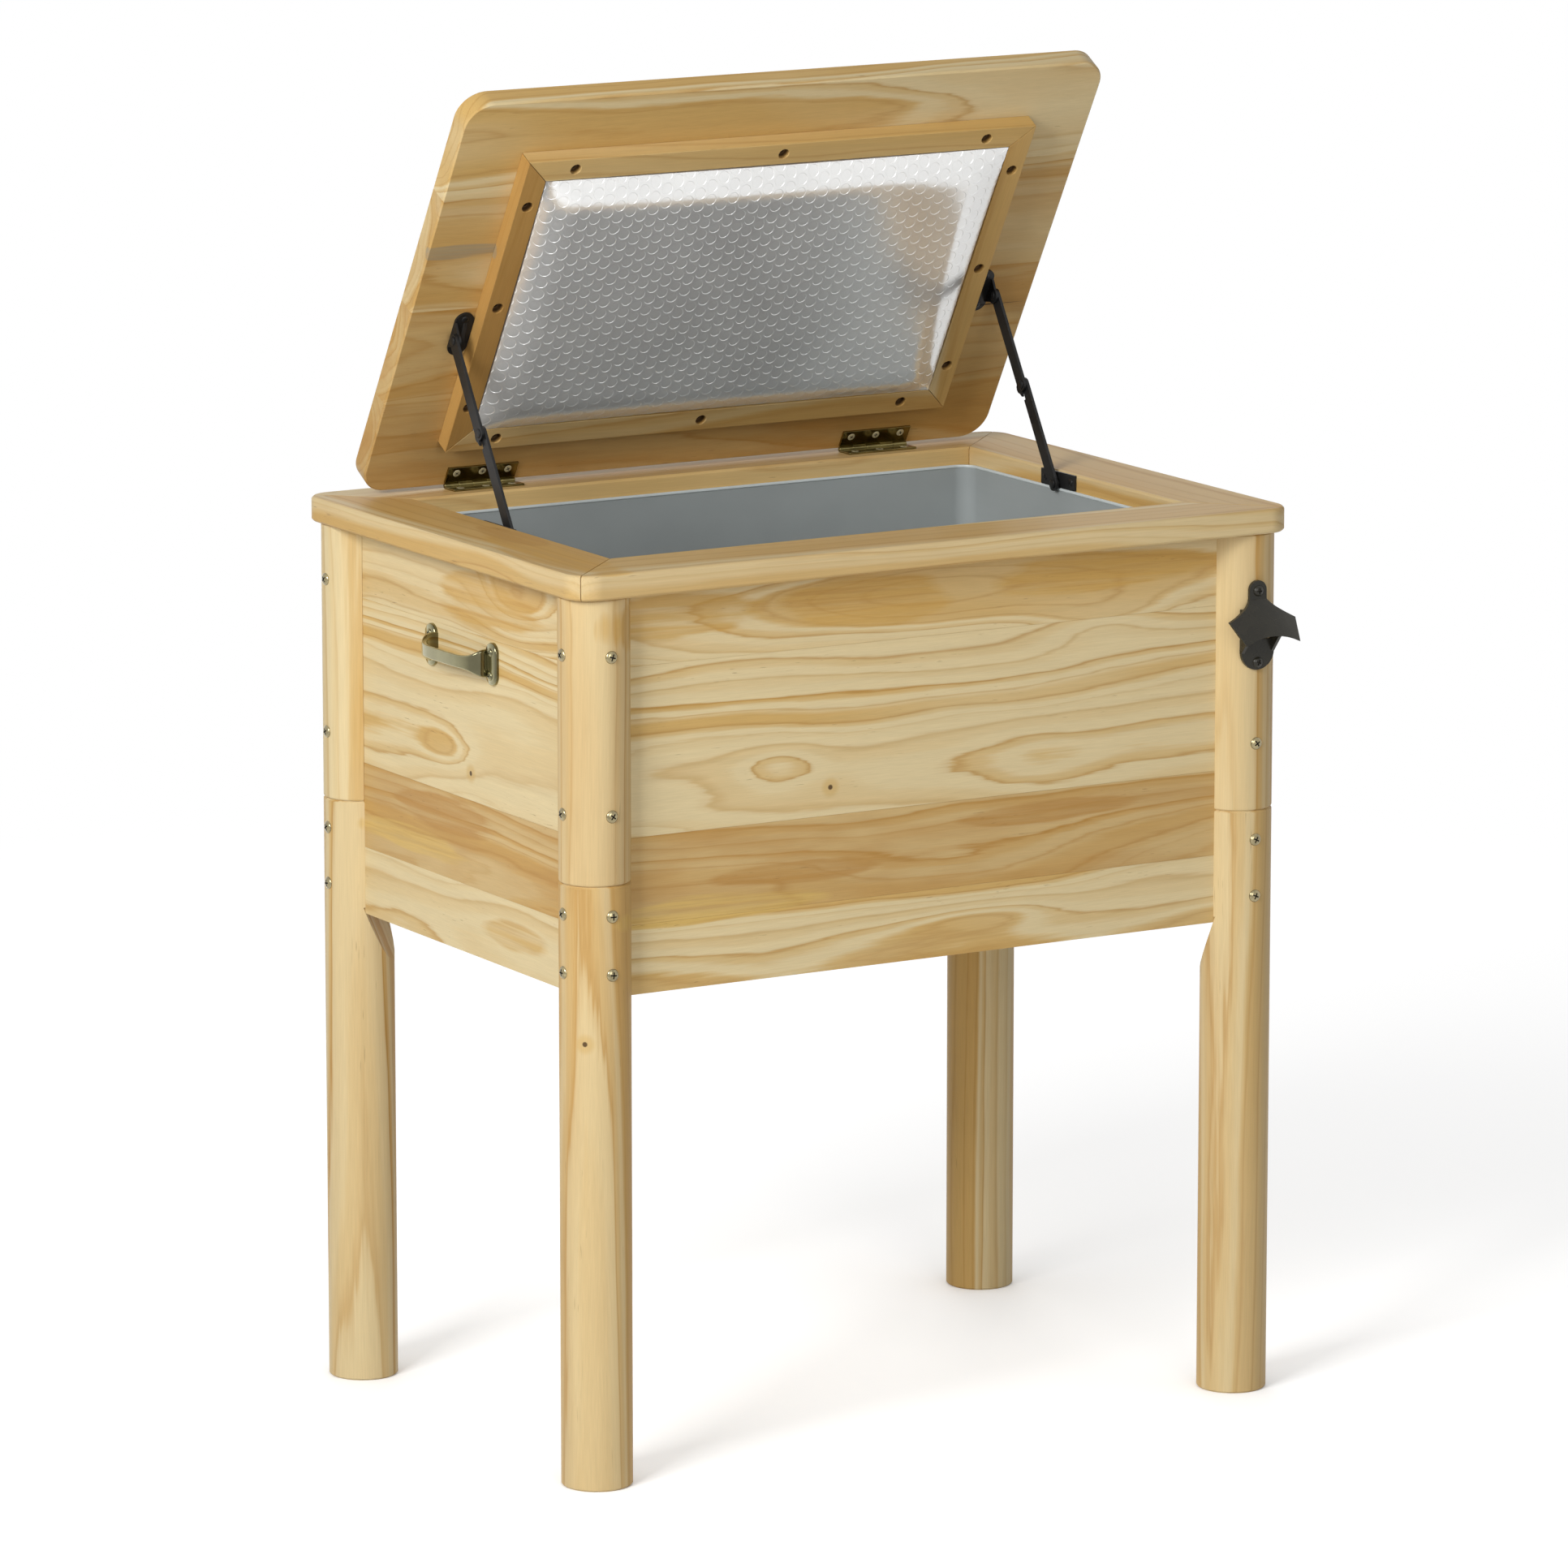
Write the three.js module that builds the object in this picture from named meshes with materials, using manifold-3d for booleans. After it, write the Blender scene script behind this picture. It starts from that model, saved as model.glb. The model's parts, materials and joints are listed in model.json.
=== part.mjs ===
// Patio cooler: an insulated pine chest on four round legs, with a hinged lid held open by two
// folding stays. Millimetres, Z up, X across the front, Y towards the back, standing on Z = 0.
// The lid is drawn open, as it stands on its locked stays.

import * as THREE from "three";
import { mergeVertices } from "three/addons/utils/BufferGeometryUtils.js";
import Module from "manifold-3d";

const wasm = await Module();
wasm.setup();

// Corner posts and legs
const postSpanX = 628;
const postSpanY = 417;
const postDiameter = 60;
const postChamfer = 1.5;
const legHeight = 512;
const runOutHeight = 45;

// Walls of the box, each glued up from boards
const boxReach = 9;
const boxBottom = 414;
const boardThickness = 15;
const grooveDepth = 1;
const boxHeight = 337;
const lowJointRise = 58.5;
const midJointRise = 132;
const highJointRise = 275;
const bottomThickness = 12;

// Rim of four mitred rails
const rimThickness = 21.3;
const rimOverhang = 34.3;
const railWidth = 71;
const rimCornerRadius = 24;
const rimArris = 2;
const mitreGap = 0.3;

// Liner tub and its insulation
const linerWall = 1.2;
const linerFit = 0.3;
const linerLipDrop = 14.8;
const baseFoamThickness = 28;
const foamFit = 0.3;

// Drain through the floor
const drainFromSide = 67;
const drainFromFront = 61.5;
const drainBore = 14;
const drainTube = 20;
const drainFlange = 32;
const drainFlangeThickness = 2;
const drainTail = 13;
const drainFit = 0.3;
const capWall = 2.5;
const capHeight = 16;

// Lid board, and how far it is open
const openAngle = 60;
const lidSideInset = 36.3;
const lidFrontInset = 38.8;
const lidThickness = 20;
const lidCornerRadius = 24.5;
const lidArris = 1.5;
const lidBackOverhang = 1.5;

// Battens under the lid
const battenSideGap = 0.4;
const battenBackGap = 16.3;
const battenFrontGap = 20.7;
const battenWidth = 21;
const battenThickness = 14.9;
const battenHoleInset = 47;
const counterboreDiameter = 10;
const counterboreDepth = 7;

// Foil pad between the battens
const padFit = 0.5;
const padCrown = 9.5;
const padEdgeRise = 2.5;
const padDrawIn = 1.2;
const padSeat = 0.3;

// Hinges
const hingeSpacing = 393.6;
const hingeFromBack = 39.3;
const hingeLength = 68.5;
const hingeLeafDepth = 18.5;
const hingeLeafThickness = 2;
const hingeAxisHeight = 2.5;
const knuckleDiameter = 4.4;
const hingePinDiameter = 2.2;
const hingePinPlay = 0.3;
const knuckleGap = 0.3;
const hingeScrewSpacing = 25;
const hingeScrewFromAxis = 12.5;

// Folding lid stays
const stayLidPlateWidth = 18;
const stayLidPlateLength = 44;
const stayPlateThickness = 2;
const stayStandOff = 2.8;
const stayLidPivotOut = 166;
const stayLidPivotDrop = 9.8;
const stayEarRadius = 7;
const stayBoxPivotOut = 182.9;
const stayBoxPivotDrop = 11.3;
const stayBoxPlateLength = 55;
const stayBoxPlateTopDrop = 0.8;
const stayUpperLength = 85.5;
const stayArmWidth = 12;
const stayArmThickness = 2.5;
const stayLayerGap = 0.3;
const stayEarGap = 0.2;
const stayPivotDiameter = 4;
const stayPivotPlay = 0.3;
const stayRivetDiameter = 8;
const stayRivetHeight = 1.2;
const stayElbowTabOut = 7;
const stayElbowTabRadius = 5.5;
const stayHookLength = 10;
const stayHookWidth = 5;
const stayPlateScrewSpacing = 31;
const stayBoxScrewSpacing = 41;

// Carrying handles
const handleDrop = 82;
const handleFootSpacing = 107;
const handleFootWidth = 18;
const handleFootHeight = 36;
const handleFootThickness = 3.5;
const handleStandOff = 22.5;
const handleBand = 4.5;
const handleGripHeight = 11;
const handleFlareHeight = 24;
const handleReach = 97;
const handleScrewSpacing = 20;
const handleRoundShare = 3.4;
const handleFlareShare = 9;

// Bottle opener on the front right post, with heights taken from the top of its hood
const openerDrop = 55;
const openerSideStep = -1.6;
const openerThickness = 3;
const openerScrewRise = 7;
const openerScrewSpacing = 61.5;
const openerTabWidth = 17;
const openerTabRise = 16;
const openerNeckDrop = 6;
const openerNeckWidth = 22;
const openerShoulderDrop = 17;
const openerShoulderWidth = 66;
const openerTipDrop = 35;
const openerTipWidth = 54;
const openerArchRise = 6.5;
const openerReach = 24;
const openerBow = 7;
const openerPlateWidth = 33;
const openerPlateLength = 26;
const openerCheekInset = 8;
const openerCheekLength = 38;
const openerSeatGap = 0.3;

// Screws: head diameter, head height, shank diameter, length in the wood
const handleScrew = { head: 7.5, rise: 2.2, shank: 3.5, length: 15 };
const openerScrew = { head: 9.5, rise: 2.6, shank: 4.5, length: 30 };
const hingeScrew = { head: 6, rise: 0.35, shank: 2.6, length: 13 };
const stayScrew = { head: 6, rise: 0.5, shank: 2.8, length: 12 };
const screwPlay = 0.3;

// How finely round shapes are divided, in facets or steps
const postFacets = 32;
const screwFacets = 8;
const rivetFacets = 12;
const knuckleFacets = 12;
const drainFacets = 24;
const cornerSteps = 9;
const handleSteps = 16;
const hoodSteps = 10;
const padStepsX = 20;
const padStepsY = 14;

const overrun = 5;
const degree = Math.PI / 180;

// Finishes
const pine = { color: 0xd9c394, roughness: 0.55, metalness: 0 };
const blueGreyPlastic = { color: 0x8c979b, roughness: 0.4, metalness: 0 };
const whiteFoam = { color: 0xe8e6df, roughness: 0.9, metalness: 0 };
const silverFoil = { color: 0xb9babb, roughness: 0.3, metalness: 0.9 };
const darkBrass = { color: 0x3d3520, roughness: 0.25, metalness: 1 };
const greyBrass = { color: 0x96917a, roughness: 0.3, metalness: 1 };
const blackSteel = { color: 0x1d1c1a, roughness: 0.45, metalness: 0.6 };
const blackPlastic = { color: 0x22252a, roughness: 0.5, metalness: 0 };

// A geometry as a solid that can be joined and cut, and back again
function solidOf(geometry) {
  const bare = geometry.clone();
  bare.deleteAttribute("normal");
  bare.deleteAttribute("uv");
  const merged = mergeVertices(bare);
  return new wasm.Manifold(new wasm.Mesh({
    numProp: 3,
    vertProperties: new Float32Array(merged.attributes.position.array),
    triVerts: new Uint32Array(merged.index.array),
  }));
}

function geometryOf(solid) {
  const data = solid.getMesh();
  const geometry = new THREE.BufferGeometry();
  geometry.setAttribute("position", new THREE.BufferAttribute(data.vertProperties, 3));
  geometry.setIndex(new THREE.BufferAttribute(data.triVerts, 1));
  return geometry;
}

// A named piece of one finish, put into the group that carries it
function addPiece(group, name, solid, finish) {
  const geometry = geometryOf(solid);
  geometry.computeVertexNormals();
  const mesh = new THREE.Mesh(geometry, new THREE.MeshStandardMaterial(finish));
  mesh.name = name;
  group.add(mesh);
}

function joined(solids) {
  return solids.reduce((whole, solid) => whole.add(solid));
}

function block(low, high) {
  const geometry = new THREE.BoxGeometry(high[0] - low[0], high[1] - low[1], high[2] - low[2]);
  geometry.translate((low[0] + high[0]) / 2, (low[1] + high[1]) / 2, (low[2] + high[2]) / 2);
  return solidOf(geometry);
}

// The three ways an outline is thickened: upwards, to the right, and towards the front
const upwards = new THREE.Matrix4();
const rightwards = new THREE.Matrix4().makeBasis(
  new THREE.Vector3(0, 1, 0), new THREE.Vector3(0, 0, 1), new THREE.Vector3(1, 0, 0));
const frontwards = new THREE.Matrix4().makeBasis(
  new THREE.Vector3(1, 0, 0), new THREE.Vector3(0, 0, 1), new THREE.Vector3(0, -1, 0));

function slab(outline, thickness, way, bevel = 0) {
  const geometry = new THREE.ExtrudeGeometry(outline, {
    depth: thickness - 2 * bevel,
    bevelEnabled: bevel > 0,
    bevelSize: bevel,
    bevelThickness: bevel,
    bevelOffset: -bevel,
    bevelSegments: 1,
    curveSegments: cornerSteps,
  });
  geometry.translate(0, 0, bevel);
  geometry.applyMatrix4(way);
  return solidOf(geometry);
}

function outlineOf(points) {
  return new THREE.Shape(points.map(([x, y]) => new THREE.Vector2(x, y)));
}

function roundedRectangle(halfWidth, low, high, radius) {
  const shape = new THREE.Shape();
  shape.absarc(halfWidth - radius, low + radius, radius, -Math.PI / 2, 0);
  shape.absarc(halfWidth - radius, high - radius, radius, 0, Math.PI / 2);
  shape.absarc(radius - halfWidth, high - radius, radius, Math.PI / 2, Math.PI);
  shape.absarc(radius - halfWidth, low + radius, radius, Math.PI, 1.5 * Math.PI);
  return shape;
}

// A round solid about Z from a profile of radius and height pairs
function turned(profile, facets) {
  const points = profile.map(([radius, height]) => new THREE.Vector2(radius, height));
  const geometry = new THREE.LatheGeometry(points, facets);
  geometry.rotateX(Math.PI / 2);
  return solidOf(geometry);
}

function rod(diameter, low, high, facets) {
  const radius = diameter / 2;
  return turned([[0, low], [radius, low], [radius, high], [0, high]], facets);
}

// Turns a solid that stands along Z to point another way
const toRight = new THREE.Matrix4().makeRotationY(Math.PI / 2);
const toLeft = new THREE.Matrix4().makeRotationY(-Math.PI / 2);
const toFront = new THREE.Matrix4().makeRotationX(Math.PI / 2);
const toBack = new THREE.Matrix4().makeRotationX(-Math.PI / 2);
const toTop = new THREE.Matrix4();
const toBottom = new THREE.Matrix4().makeRotationX(Math.PI);

function placed(solid, way, at) {
  return solid.transform(new THREE.Matrix4().makeTranslation(...at).multiply(way).elements);
}

// A domed screw whose head sits at Z = 0 and whose shank goes down, and the hole that takes it
function screwSolid(screw) {
  const head = screw.head / 2;
  const shank = screw.shank / 2;
  return turned([
    [0, -screw.length], [shank, shank - screw.length], [shank, 0], [head, 0],
    [head, screw.rise / 3], [head / 2, screw.rise * 0.9], [0, screw.rise],
  ], screwFacets);
}

function screwHole(screw) {
  return rod(screw.shank + 2 * screwPlay, -screw.length - screwPlay, overrun, screwFacets);
}

// Places of screws: [way the head faces, point under the head]
function screwsAt(screw, places) {
  return joined(places.map(([way, at]) => placed(screwSolid(screw), way, at)));
}

function holesAt(screw, places) {
  return joined(places.map(([way, at]) => placed(screwHole(screw), way, at)));
}

// Sizes that follow from those above
const postRadius = postDiameter / 2;
const boxHalfX = postSpanX / 2 + boxReach;
const boxHalfY = postSpanY / 2 + boxReach;
const rimBottom = boxBottom + boxHeight;
const innerHalfX = boxHalfX - boardThickness;
const innerHalfY = boxHalfY - boardThickness;
const rimHalfX = postSpanX / 2 + rimOverhang;
const rimHalfY = postSpanY / 2 + rimOverhang;
const mouthHalfX = rimHalfX - railWidth;
const mouthHalfY = rimHalfY - railWidth;
const rimTop = rimBottom + rimThickness;
const linerHalfX = mouthHalfX - linerFit;
const linerHalfY = mouthHalfY - linerFit;
const linerTop = rimTop - linerLipDrop;
const baseFoamBottom = boxBottom + bottomThickness;
const linerBottom = baseFoamBottom + baseFoamThickness + foamFit;
const linerFloorTop = linerBottom + linerWall;
const hingeAxisY = rimHalfY - hingeFromBack;
const hingeAxisZ = rimTop + hingeAxisHeight;
const handleCentreHeight = rimBottom - handleDrop;
const openerHoodTop = rimBottom - openerDrop;
const openerShoulderHeight = openerHoodTop - openerShoulderDrop;
const openerTipHeight = openerHoodTop - openerTipDrop;
const openerArchHeight = openerTipHeight + openerArchRise;

// Across the chest, the stays fill the room between the side rails and the battens
const boxPlateFace = mouthHalfX - stayPlateThickness;
const earOutside = boxPlateFace - stayStandOff - 2 * stayArmThickness - stayLayerGap - stayEarGap;
const lidPlateX = earOutside - stayLidPlateWidth / 2;
const battenFrameHalfWidth = earOutside - stayLidPlateWidth - battenSideGap;
const battenFrameStart = hingeAxisY - mouthHalfY + battenBackGap;
const battenFrameEnd = hingeAxisY + mouthHalfY - battenFrontGap;
const battenFrameDepth = battenFrameEnd - battenFrameStart;
const lidHalfWidth = rimHalfX - lidSideInset;
const lidFrontEdge = hingeAxisY + rimHalfY - lidFrontInset;

const frame = new THREE.Group();
const corners = [
  ["front_left", -1, -1], ["front_right", 1, -1], ["back_left", -1, 1], ["back_right", 1, 1],
];

const openerX = postSpanX / 2 + openerSideStep;
const openerBack = -postSpanY / 2 - postRadius - openerSeatGap;
const openerFace = openerBack - openerThickness;
const openerScrewPlaces = [openerScrewRise, openerScrewRise - openerScrewSpacing]
  .map((rise) => [toFront, [openerX, openerFace, openerHoodTop + rise]]);

const openerScrewHoles = holesAt(openerScrew, openerScrewPlaces);

// Posts and legs: round bars whose inner quarter is cut away to hold the corner of the box.
// On the leg the cut ends in a ledge, and a slanting face runs out from it to the full round.
const boxCorner = block([-boxHalfX, -boxHalfY, boxBottom], [boxHalfX, boxHalfY, rimTop]);
const notchChord = (Math.sqrt(postRadius ** 2 - boxReach ** 2) - boxReach) / Math.SQRT2;

function roundBar(low, high) {
  return turned([
    [0, low], [postRadius - postChamfer, low], [postRadius, low + postChamfer],
    [postRadius, high - postChamfer], [postRadius - postChamfer, high], [0, high],
  ], postFacets);
}

function runOut(sideX, sideY) {
  const slope = (postRadius - notchChord) / runOutHeight;
  const wedge = outlineOf([
    [notchChord, boxBottom],
    [notchChord - overrun * slope, boxBottom + overrun],
    [postRadius + overrun, boxBottom + overrun],
    [postRadius + overrun, boxBottom - runOutHeight - overrun / slope],
  ]);
  const solid = placed(slab(wedge, 2 * postDiameter, frontwards), toTop, [0, postDiameter, 0]);
  const turn = Math.atan2(-sideY, -sideX);
  return solid.transform(new THREE.Matrix4().makeRotationZ(turn).elements);
}

for (const [place, sideX, sideY] of corners) {
  const at = [sideX * postSpanX / 2, sideY * postSpanY / 2, 0];
  const leg = roundBar(0, legHeight).subtract(runOut(sideX, sideY));
  const post = placed(roundBar(legHeight, rimBottom), toTop, at);
  addPiece(frame, `${place}_leg`, placed(leg, toTop, at).subtract(boxCorner), pine);
  addPiece(frame, `${place}_post`, post.subtract(boxCorner).subtract(openerScrewHoles), pine);
}

// Walls: boards edge to edge, with a fine groove at each joint on the outside
const jointHeights = [lowJointRise, midJointRise, highJointRise].map((rise) => boxBottom + rise);

function grooves(halfLength) {
  return joined(jointHeights.map((z) => {
    const cut = outlineOf([
      [-grooveDepth, z], [grooveDepth, z - 2 * grooveDepth], [grooveDepth, z + 2 * grooveDepth],
    ]);
    return placed(slab(cut, 2 * halfLength, rightwards), toTop, [-halfLength, 0, 0]);
  }));
}

const longGrooves = grooves(boxHalfX + overrun);
const shortGrooves = grooves(boxHalfY + overrun);
const quarterTurn = new THREE.Matrix4().makeRotationZ(Math.PI / 2);
const halfTurn = new THREE.Matrix4().makeRotationZ(Math.PI);

for (const [name, side] of [["front_wall", -1], ["back_wall", 1]]) {
  const ends = [side * boxHalfY, side * innerHalfY].sort((a, b) => a - b);
  const wall = block([-boxHalfX, ends[0], boxBottom], [boxHalfX, ends[1], rimBottom]);
  const cut = placed(longGrooves, side < 0 ? halfTurn : toTop, [0, side * boxHalfY, 0]);
  addPiece(frame, name, wall.subtract(cut).subtract(openerScrewHoles), pine);
}

// Handles: two oblong feet with a flat band between them, which widens into each foot.
// They are drawn on the right wall, outwards along X, and turned about for the left one.
const footCentres = [-handleFootSpacing / 2, handleFootSpacing / 2];

function handleScrewPlaces(side) {
  const x = side * (boxHalfX + handleFootThickness);
  const heights = [-handleScrewSpacing / 2, handleScrewSpacing / 2];
  return footCentres.flatMap((y) => heights.map(
    (z) => [side < 0 ? toLeft : toRight, [x, y, handleCentreHeight + z]]));
}

// Half of a rounded arch from one foot to the other, as [along, out] points
function archPoints(halfLength, height) {
  return Array.from({ length: handleSteps + 1 }, (_, step) => {
    const angle = Math.PI * (1 - step / handleSteps);
    const along = Math.sign(Math.cos(angle)) * Math.abs(Math.cos(angle)) ** (2 / handleRoundShare);
    const out = Math.abs(Math.sin(angle)) ** (2 / handleRoundShare);
    return [halfLength * along, height * out];
  });
}

function handleSolid() {
  const outer = archPoints(handleReach / 2, handleStandOff);
  const inner = archPoints(handleReach / 2 - handleBand, handleStandOff - handleBand);
  const tall = placed(
    slab(outlineOf([...outer, ...inner.reverse()]), handleFlareHeight, upwards),
    new THREE.Matrix4().makeRotationZ(-Math.PI / 2), [0, 0, -handleFlareHeight / 2]);
  const edge = Array.from({ length: handleSteps + 1 }, (_, step) => {
    const share = 2 * step / handleSteps - 1;
    const flare = (handleFlareHeight - handleGripHeight) * Math.abs(share) ** handleFlareShare;
    return [share * handleReach / 2, (handleGripHeight + flare) / 2];
  });
  const under = edge.map(([along, up]) => [along, -up]).reverse();
  const flat = slab(outlineOf([...edge, ...under]), handleStandOff + overrun, rightwards);
  const radius = handleFootWidth / 2;
  const feet = footCentres.map((y) => {
    const outline = roundedRectangle(radius, -handleFootHeight / 2, handleFootHeight / 2, radius);
    return placed(
      slab(outline, handleFootThickness, rightwards, handleFootThickness / 4), toTop, [0, y, 0]);
  });
  return joined([tall.intersect(flat), ...feet]);
}

for (const [name, side] of [["left", -1], ["right", 1]]) {
  const ends = [side * boxHalfX, side * innerHalfX].sort((a, b) => a - b);
  const wall = block([ends[0], -innerHalfY, boxBottom], [ends[1], innerHalfY, rimBottom]);
  const turn = quarterTurn.clone();
  const cut = placed(shortGrooves, side < 0 ? turn : turn.multiply(halfTurn), [side * boxHalfX, 0, 0]);
  const holes = holesAt(handleScrew, handleScrewPlaces(side));
  addPiece(frame, `${name}_wall`, wall.subtract(cut).subtract(holes), pine);
  const handle = placed(
    handleSolid(), side < 0 ? halfTurn : toTop, [side * boxHalfX, 0, handleCentreHeight]);
  addPiece(frame, `${name}_handle`, handle.subtract(holes), greyBrass);
  handleScrewPlaces(side).forEach((place, index) => addPiece(
    frame, `${name}_handle_screw_${index + 1}`, screwsAt(handleScrew, [place]), greyBrass));
}

// Bottom board, foam and liner, with a hole for the drain through all of them
const drainX = linerHalfX - drainFromSide;
const drainY = drainFromFront - linerHalfY;
const drainHole = placed(
  rod(drainTube + 2 * drainFit, boxBottom - overrun, linerFloorTop + overrun, drainFacets),
  toTop, [drainX, drainY, 0]);
const bottomBoard = block(
  [-innerHalfX, -innerHalfY, boxBottom], [innerHalfX, innerHalfY, baseFoamBottom]);
addPiece(frame, "bottom_board", bottomBoard.subtract(drainHole), pine);

const foamHalfX = innerHalfX - foamFit;
const foamHalfY = innerHalfY - foamFit;
const foamInnerX = linerHalfX + foamFit;
const foamInnerY = linerHalfY + foamFit;
const foamFloor = linerBottom - foamFit;
const foamShell = block(
  [-foamHalfX, -foamHalfY, baseFoamBottom], [foamHalfX, foamHalfY, rimBottom - foamFit],
).subtract(block(
  [-foamInnerX, -foamInnerY, foamFloor], [foamInnerX, foamInnerY, rimBottom + overrun]));
addPiece(frame, "insulation", foamShell.subtract(drainHole).subtract(openerScrewHoles), whiteFoam);

const tubOutside = block(
  [-linerHalfX, -linerHalfY, linerBottom], [linerHalfX, linerHalfY, linerTop]);
const tubInside = block(
  [linerWall - linerHalfX, linerWall - linerHalfY, linerFloorTop],
  [linerHalfX - linerWall, linerHalfY - linerWall, linerTop + overrun]);
addPiece(frame, "liner_tub", tubOutside.subtract(tubInside).subtract(drainHole), blueGreyPlastic);

// Drain: a flanged tube from the tub floor to below the bottom board, closed by a cap
const tailEnd = boxBottom - drainTail;
const drainTubeSolid = turned([
  [drainBore / 2, tailEnd], [drainTube / 2, tailEnd], [drainTube / 2, linerFloorTop],
  [drainFlange / 2, linerFloorTop], [drainFlange / 2, linerFloorTop + drainFlangeThickness],
  [drainBore / 2, linerFloorTop + drainFlangeThickness], [drainBore / 2, tailEnd],
], drainFacets);
addPiece(frame, "drain_fitting", placed(drainTubeSolid, toTop, [drainX, drainY, 0]), blackPlastic);

const capTop = boxBottom - drainFit;
const capInner = drainTube / 2 + drainFit;
const capOuter = capInner + capWall;
const capSolid = turned([
  [0, capTop - capHeight], [capOuter, capTop - capHeight], [capOuter, capTop], [capInner, capTop],
  [capInner, capTop - capHeight + capWall], [0, capTop - capHeight + capWall],
], drainFacets);
addPiece(frame, "drain_cap", placed(capSolid, toTop, [drainX, drainY, 0]), blackPlastic);

// Rim: rails with rounded outer corners, mitred at 45 degrees
const hingeCentres = [-hingeSpacing / 2, hingeSpacing / 2];
const hingeScrewSteps = [-hingeScrewSpacing, 0, hingeScrewSpacing];
const leafTop = rimTop + hingeLeafThickness;
const rimLeafScrewPlaces = (x) => hingeScrewSteps.map(
  (step) => [toTop, [x + step, hingeAxisY - hingeScrewFromAxis, leafTop]]);

const stayBoxPivotY = hingeAxisY - stayBoxPivotOut;
const stayBoxPivotZ = rimTop - stayBoxPivotDrop;
const boxPlateTop = rimTop - stayBoxPlateTopDrop;
const boxPlateBottom = linerTop + linerFit;
const boxPlateScrewPlaces = (sign) => [-1, 1].map((end) => [
  sign < 0 ? toRight : toLeft,
  [sign * boxPlateFace, stayBoxPivotY + end * stayBoxScrewSpacing / 2,
    (boxPlateTop + boxPlateBottom) / 2],
]);

const rimOutline = roundedRectangle(rimHalfX, -rimHalfY, rimHalfY, rimCornerRadius);
rimOutline.holes.push(outlineOf([
  [-mouthHalfX, -mouthHalfY], [-mouthHalfX, mouthHalfY],
  [mouthHalfX, mouthHalfY], [mouthHalfX, -mouthHalfY],
]));
const rimRing = placed(slab(rimOutline, rimThickness, upwards, rimArris), toTop, [0, 0, rimBottom]);
const rimHoles = holesAt(hingeScrew, hingeCentres.flatMap(rimLeafScrewPlaces))
  .add(holesAt(stayScrew, [-1, 1].flatMap(boxPlateScrewPlaces)));

// The wedge of one rail, from its mitres at the mouth out past the corners of the rim.
// It is drawn for the front rail: halfLength and halfDepth are those of the mouth.
function mitreWedge(halfLength, halfDepth, width) {
  const end = halfLength - mitreGap / Math.SQRT2;
  const out = width + overrun;
  return outlineOf([
    [-end, -halfDepth + overrun], [-end, -halfDepth], [-end - out, -halfDepth - out],
    [end + out, -halfDepth - out], [end, -halfDepth], [end, -halfDepth + overrun],
  ]);
}

function mitred(ring, halfX, halfY, width, low, height) {
  const slice = (halfLength, halfDepth, turn) => {
    const wedge = slab(mitreWedge(halfLength, halfDepth, width), height + 2 * overrun, upwards);
    const way = new THREE.Matrix4().makeRotationZ(turn);
    return ring.intersect(placed(wedge, way, [0, 0, low - overrun]));
  };
  return {
    front: slice(halfX, halfY, 0),
    back: slice(halfX, halfY, Math.PI),
    right: slice(halfY, halfX, Math.PI / 2),
    left: slice(halfY, halfX, -Math.PI / 2),
  };
}

const rails = mitred(rimRing, mouthHalfX, mouthHalfY, railWidth, rimBottom, rimThickness);
for (const place of ["front", "back", "left", "right"]) {
  addPiece(frame, `${place}_rail`, rails[place].subtract(rimHoles), pine);
}

// Hinges: five knuckles on a pin, three on the leaf of the rim and two on the leaf of the lid
const knuckleLength = hingeLength / 5;
const hingeBore = placed(
  rod(hingePinDiameter + hingePinPlay, -overrun, hingeLength + overrun, knuckleFacets),
  toRight, [-hingeLength / 2, 0, 0]);

function hingeLeaf(leafLow, ownKnuckles) {
  const near = knuckleDiameter / 2 + knuckleGap;
  const plate = block(
    [-hingeLength / 2, -hingeLeafDepth, leafLow], [hingeLength / 2, 0, leafLow + hingeLeafThickness]);
  const gaps = [0, 1, 2, 3, 4].filter((index) => !ownKnuckles.includes(index)).map((index) => block(
    [index * knuckleLength - hingeLength / 2 - knuckleGap / 2, -near, -overrun],
    [(index + 1) * knuckleLength - hingeLength / 2 + knuckleGap / 2, overrun, overrun]));
  const knuckles = ownKnuckles.map((index) => placed(
    rod(knuckleDiameter, knuckleGap / 2, knuckleLength - knuckleGap / 2, knuckleFacets),
    toRight, [index * knuckleLength - hingeLength / 2, 0, 0]));
  return joined([plate.subtract(joined(gaps)), ...knuckles]).subtract(hingeBore);
}

const hingeNames = [["left", hingeCentres[0]], ["right", hingeCentres[1]]];
for (const [side, x] of hingeNames) {
  const leaf = placed(hingeLeaf(-hingeAxisHeight, [0, 2, 4]), toTop, [x, hingeAxisY, hingeAxisZ]);
  const screws = screwsAt(hingeScrew, rimLeafScrewPlaces(x));
  const pin = rod(hingePinDiameter, 0, hingeLength, knuckleFacets);
  addPiece(frame, `${side}_hinge_rim_leaf`, leaf.add(screws), darkBrass);
  addPiece(frame, `${side}_hinge_pin`, placed(
    pin, toRight, [x - hingeLength / 2, hingeAxisY, hingeAxisZ]), darkBrass);
}

// Box end of the stays: a plate on the inside of each side rail, and a shouldered stud.
// On both stays the upper arm lies to the left of the lower one.
const upperArmLow = {
  left: -earOutside - stayEarGap - stayArmThickness,
  right: earOutside + stayEarGap,
};
const layerStep = stayArmThickness + stayLayerGap;
const boxPlateOutline = roundedRectangle(
  stayBoxPlateLength / 2, boxPlateBottom, boxPlateTop, stayPlateThickness / 2);

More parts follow.
